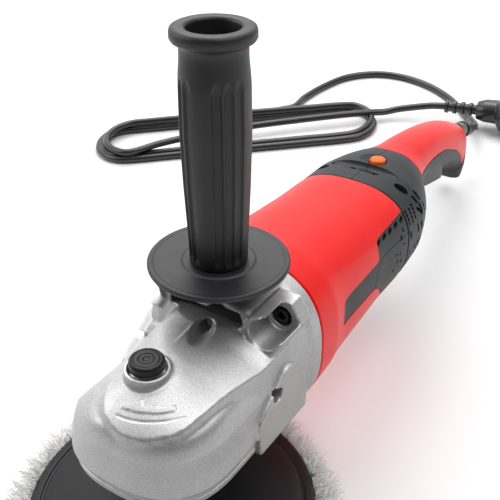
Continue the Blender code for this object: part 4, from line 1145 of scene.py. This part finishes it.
def smooth_route(points, spacing):
    """Evenly spaced points on one smooth curve through the given points."""
    spots, dense = [Vector(p) for p in points], []
    for k in range(len(spots) - 1):
        before, after = spots[max(k - 1, 0)], spots[min(k + 2, len(spots) - 1)]
        step = (spots[k + 1] - spots[k]).length
        near = spots[k] + (spots[k + 1] - before).normalized() * step / 3
        far = spots[k + 1] - (after - spots[k]).normalized() * step / 3
        dense += interpolate_bezier(spots[k], near, far, spots[k + 1], 25)[:-1]
    dense.append(spots[-1])
    lengths = np.cumsum([0.0] + [(b - a).length for a, b in zip(dense, dense[1:])])
    places = np.linspace(0, lengths[-1], round(lengths[-1] / spacing))
    columns = [np.interp(places, lengths, [p[i] for p in dense]) for i in range(3)]
    return [Vector(p) for p in zip(*columns)], lengths[-1]


def plug_axis():
    return Vector((math.cos(PLUG_TURN) * math.cos(PLUG_RISE), math.sin(PLUG_TURN) * math.cos(PLUG_RISE),
                   math.sin(PLUG_RISE)))


def plug():
    """Round two-pin mains plug with a ribbed relief."""
    place = at(*PLUG_START, plug_axis())
    ribs = [(5.0, 0.0)]
    for k in range(4):
        low = 8.0 * k
        ribs += [(6.4, low + 0.4), (6.4, low + 3.4), (4.9, low + 3.9), (4.9, low + 7.5)]
    ribs += [(7.0, 32.0)]
    relief = turned("plug_bend_relief", ring_profile(3.8, ribs), place, 64, 0.5)
    show(relief, "cord_black", ["plug_relief"], sharp=50, frame_of=WORLD)
    profile = [(0, 32.3), (9.0, 32.3), (11.5, 40.0), (12.0, 52.0), (18.0, 56.0), (19.3, 58.0), (19.3, 63.0),
               (18.6, 63.6), (18.6, 65.4), (19.3, 66.0), (19.3, 74.0), (17.8, 76.0), (0, 76.0)]
    body = turned("plug_shell", profile, place, 96, 1.0,
                  lambda r, h, a: r * (1 - 0.03 * (math.sin(a) ** 2) * (h < 55)))
    show(body, "cord_black", ["plug_body"], sharp=50, frame_of=WORLD)
    pieces = [relief, body]
    for k, side in enumerate((-1, 1), 1):
        pin = turned(f"plug_contact_{k}", [(0, 76.3), (2.4, 76.3), (2.4, 93.5), (1.6, 95.3), (0, 95.3)],
                     place @ Matrix.Translation((9.5 * side, 0, 0)), 32, 0.5)
        pieces.append(show(pin, "plug_pins", [f"plug_pin_{k}"], frame_of=WORLD))
    return pieces


def lead():
    """The whole lead on one smooth curve, from the tail's relief to the plug."""
    to_plug = [(-92, 320.5, 11.0), (-76, 327.5, 13.6), (-61, 332.4, 16.2),
               tuple(PLUG_START - plug_axis() * 0.4)]
    route, length = smooth_route(RUN_OUT + hank_route() + to_plug, 3.0)
    curve = bpy.data.curves.new("mains_lead", "CURVE")
    curve.dimensions, curve.bevel_depth, curve.bevel_resolution = "3D", CORD_R * MM, 5
    curve.use_fill_caps = True
    spline = curve.splines.new("POLY")
    spline.points.add(len(route) - 1)
    for spot, place in zip(spline.points, route):
        spot.co = (*(place * MM), 1.0)
    spline.use_smooth = True
    cord = bpy.data.objects.new("mains_lead", curve)
    bpy.context.scene.collection.objects.link(cord)
    curve.materials.append(FINISHES["cord_black"])
    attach(cord, "root")
    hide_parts("cord_run", "cord_hank", "cord_plug_run")
    plug()


# ---------------------------------------------------------------- inner parts, stage, camera

INNER = {
    "bearing_steel": ["spindle_bearing", "armature_front_bearing", "armature_rear_bearing",
                      "spindle_shaft", "ring_gear", "drive_pinion", "armature_shaft", "lock_spring",
                      "handle_stud", "trigger_pin"],
    "brass": ["spindle_upper_bush", "brush_holder_left", "brush_holder_right"],
    "carbon": ["carbon_brush_left", "carbon_brush_right"],
    "laminations": ["field_stack", "armature_core"],
    "copper_winding": ["field_coil_upper", "field_coil_lower", "armature_winding_front",
                       "armature_winding_rear", "commutator"],
    "grey_plastic": ["bearing_bracket", "cooling_fan"],
    "black_plastic": ["switch_body", "cord_clamp"],
    "circuit_board": ["speed_board"],
}


def inner_parts():
    for slot, names in INNER.items():
        for name in names:
            node = frame["nodes"][name]
            node.data.materials.clear()
            node.data.materials.append(FINISHES[slot])


def camera():
    """Camera in front of the nose, to its right and above, level with the machine's own frame."""
    data = bpy.data.cameras.new("camera")
    data.sensor_width, data.lens = 36.0, 57.8
    data.clip_start, data.clip_end = 0.01, 20.0
    seat = bpy.data.objects.new("camera", data)
    bpy.context.scene.collection.objects.link(seat)
    turn = Matrix.Rotation(math.radians(33.0), 4, "Z") @ Matrix.Rotation(math.radians(57.9), 4, "X")
    seat.matrix_world = MACHINE @ Matrix.Translation(Vector((205.7, -236.9, 388.0)) * MM) @ turn
    bpy.context.scene.camera = seat


def floor():
    finish = Finish("studio_paper", roughness=0.9)
    haze = finish.grain(400.0, 2.0)
    finish.surface(base_color=finish.blend(haze, (0.90, 0.90, 0.905, 1), (0.93, 0.93, 0.935, 1)))
    half = 8.0
    mesh = bpy.data.meshes.new("studio_floor")
    corners = [(-half, -half, 0), (half, -half, 0), (half, half, 0), (-half, half, 0)]
    mesh.from_pydata(corners, [], [(0, 1, 2, 3)])
    mesh.materials.append(finish.material)
    obj = bpy.data.objects.new("studio_floor", mesh)
    bpy.context.scene.collection.objects.link(obj)


def area_light(name, place, aim, size, power):
    data = bpy.data.lights.new(name, "AREA")
    data.shape, data.size, data.energy = "DISK", size, power
    lamp = bpy.data.objects.new(name, data)
    bpy.context.scene.collection.objects.link(lamp)
    lamp.location = place
    lamp.rotation_euler = (Vector(aim) - Vector(place)).to_track_quat("-Z", "Y").to_euler()


def studio():
    """White surroundings, bright at the back and to the left and dim in front, and three soft lamps."""
    world = bpy.data.worlds.new("studio")
    world.use_nodes = True
    nodes = Nodes(world.node_tree)
    brightest = Vector((-0.50, 0.62, 0.60)).normalized()
    place = nodes.node("ShaderNodeTexCoord", output="Generated")
    lean = nodes.node("ShaderNodeVectorMath", {"operation": "DOT_PRODUCT"}, {0: place, 1: brightest},
                      output="Value")
    power = nodes.node("ShaderNodeMapRange", {"interpolation_type": "SMOOTHSTEP"},
                       {0: lean, 1: -0.15, 2: 0.9, 3: 0.09, 4: 1.25})
    nodes.put(world.node_tree.nodes["Background"], {"Color": grey(1.0), "Strength": power})
    bpy.context.scene.world = world
    area_light("soft_box_back", (-0.55, 0.75, 1.25), (0.0, 0.05, 0.05), 0.9, 9.0)
    area_light("soft_box_top", (0.65, 0.15, 1.5), (0.25, 0.1, 0.0), 1.2, 9.0)
    area_light("soft_box_left", (-1.1, -0.5, 0.9), (0.0, 0.0, 0.1), 0.8, 4.0)
    bpy.context.scene.view_settings.view_transform = "Standard"


camera()
studio()
floor()
lead()
gear_case()
gear_case_cover()
screws()
lock_button()
motor_housing()
cheek("side_cheek_right", 1, "side_plate_right")
cheek("side_cheek_left", -1, "side_plate_left")
rear_half("clamshell_right", 1, "rear_housing_right")
rear_half("clamshell_left", -1, "rear_housing_left")
grip_cover()
lock_on_button()
speed_dial()
trigger()
cord_relief()
side_handle()
pad()
wool_bonnet()
inner_parts()
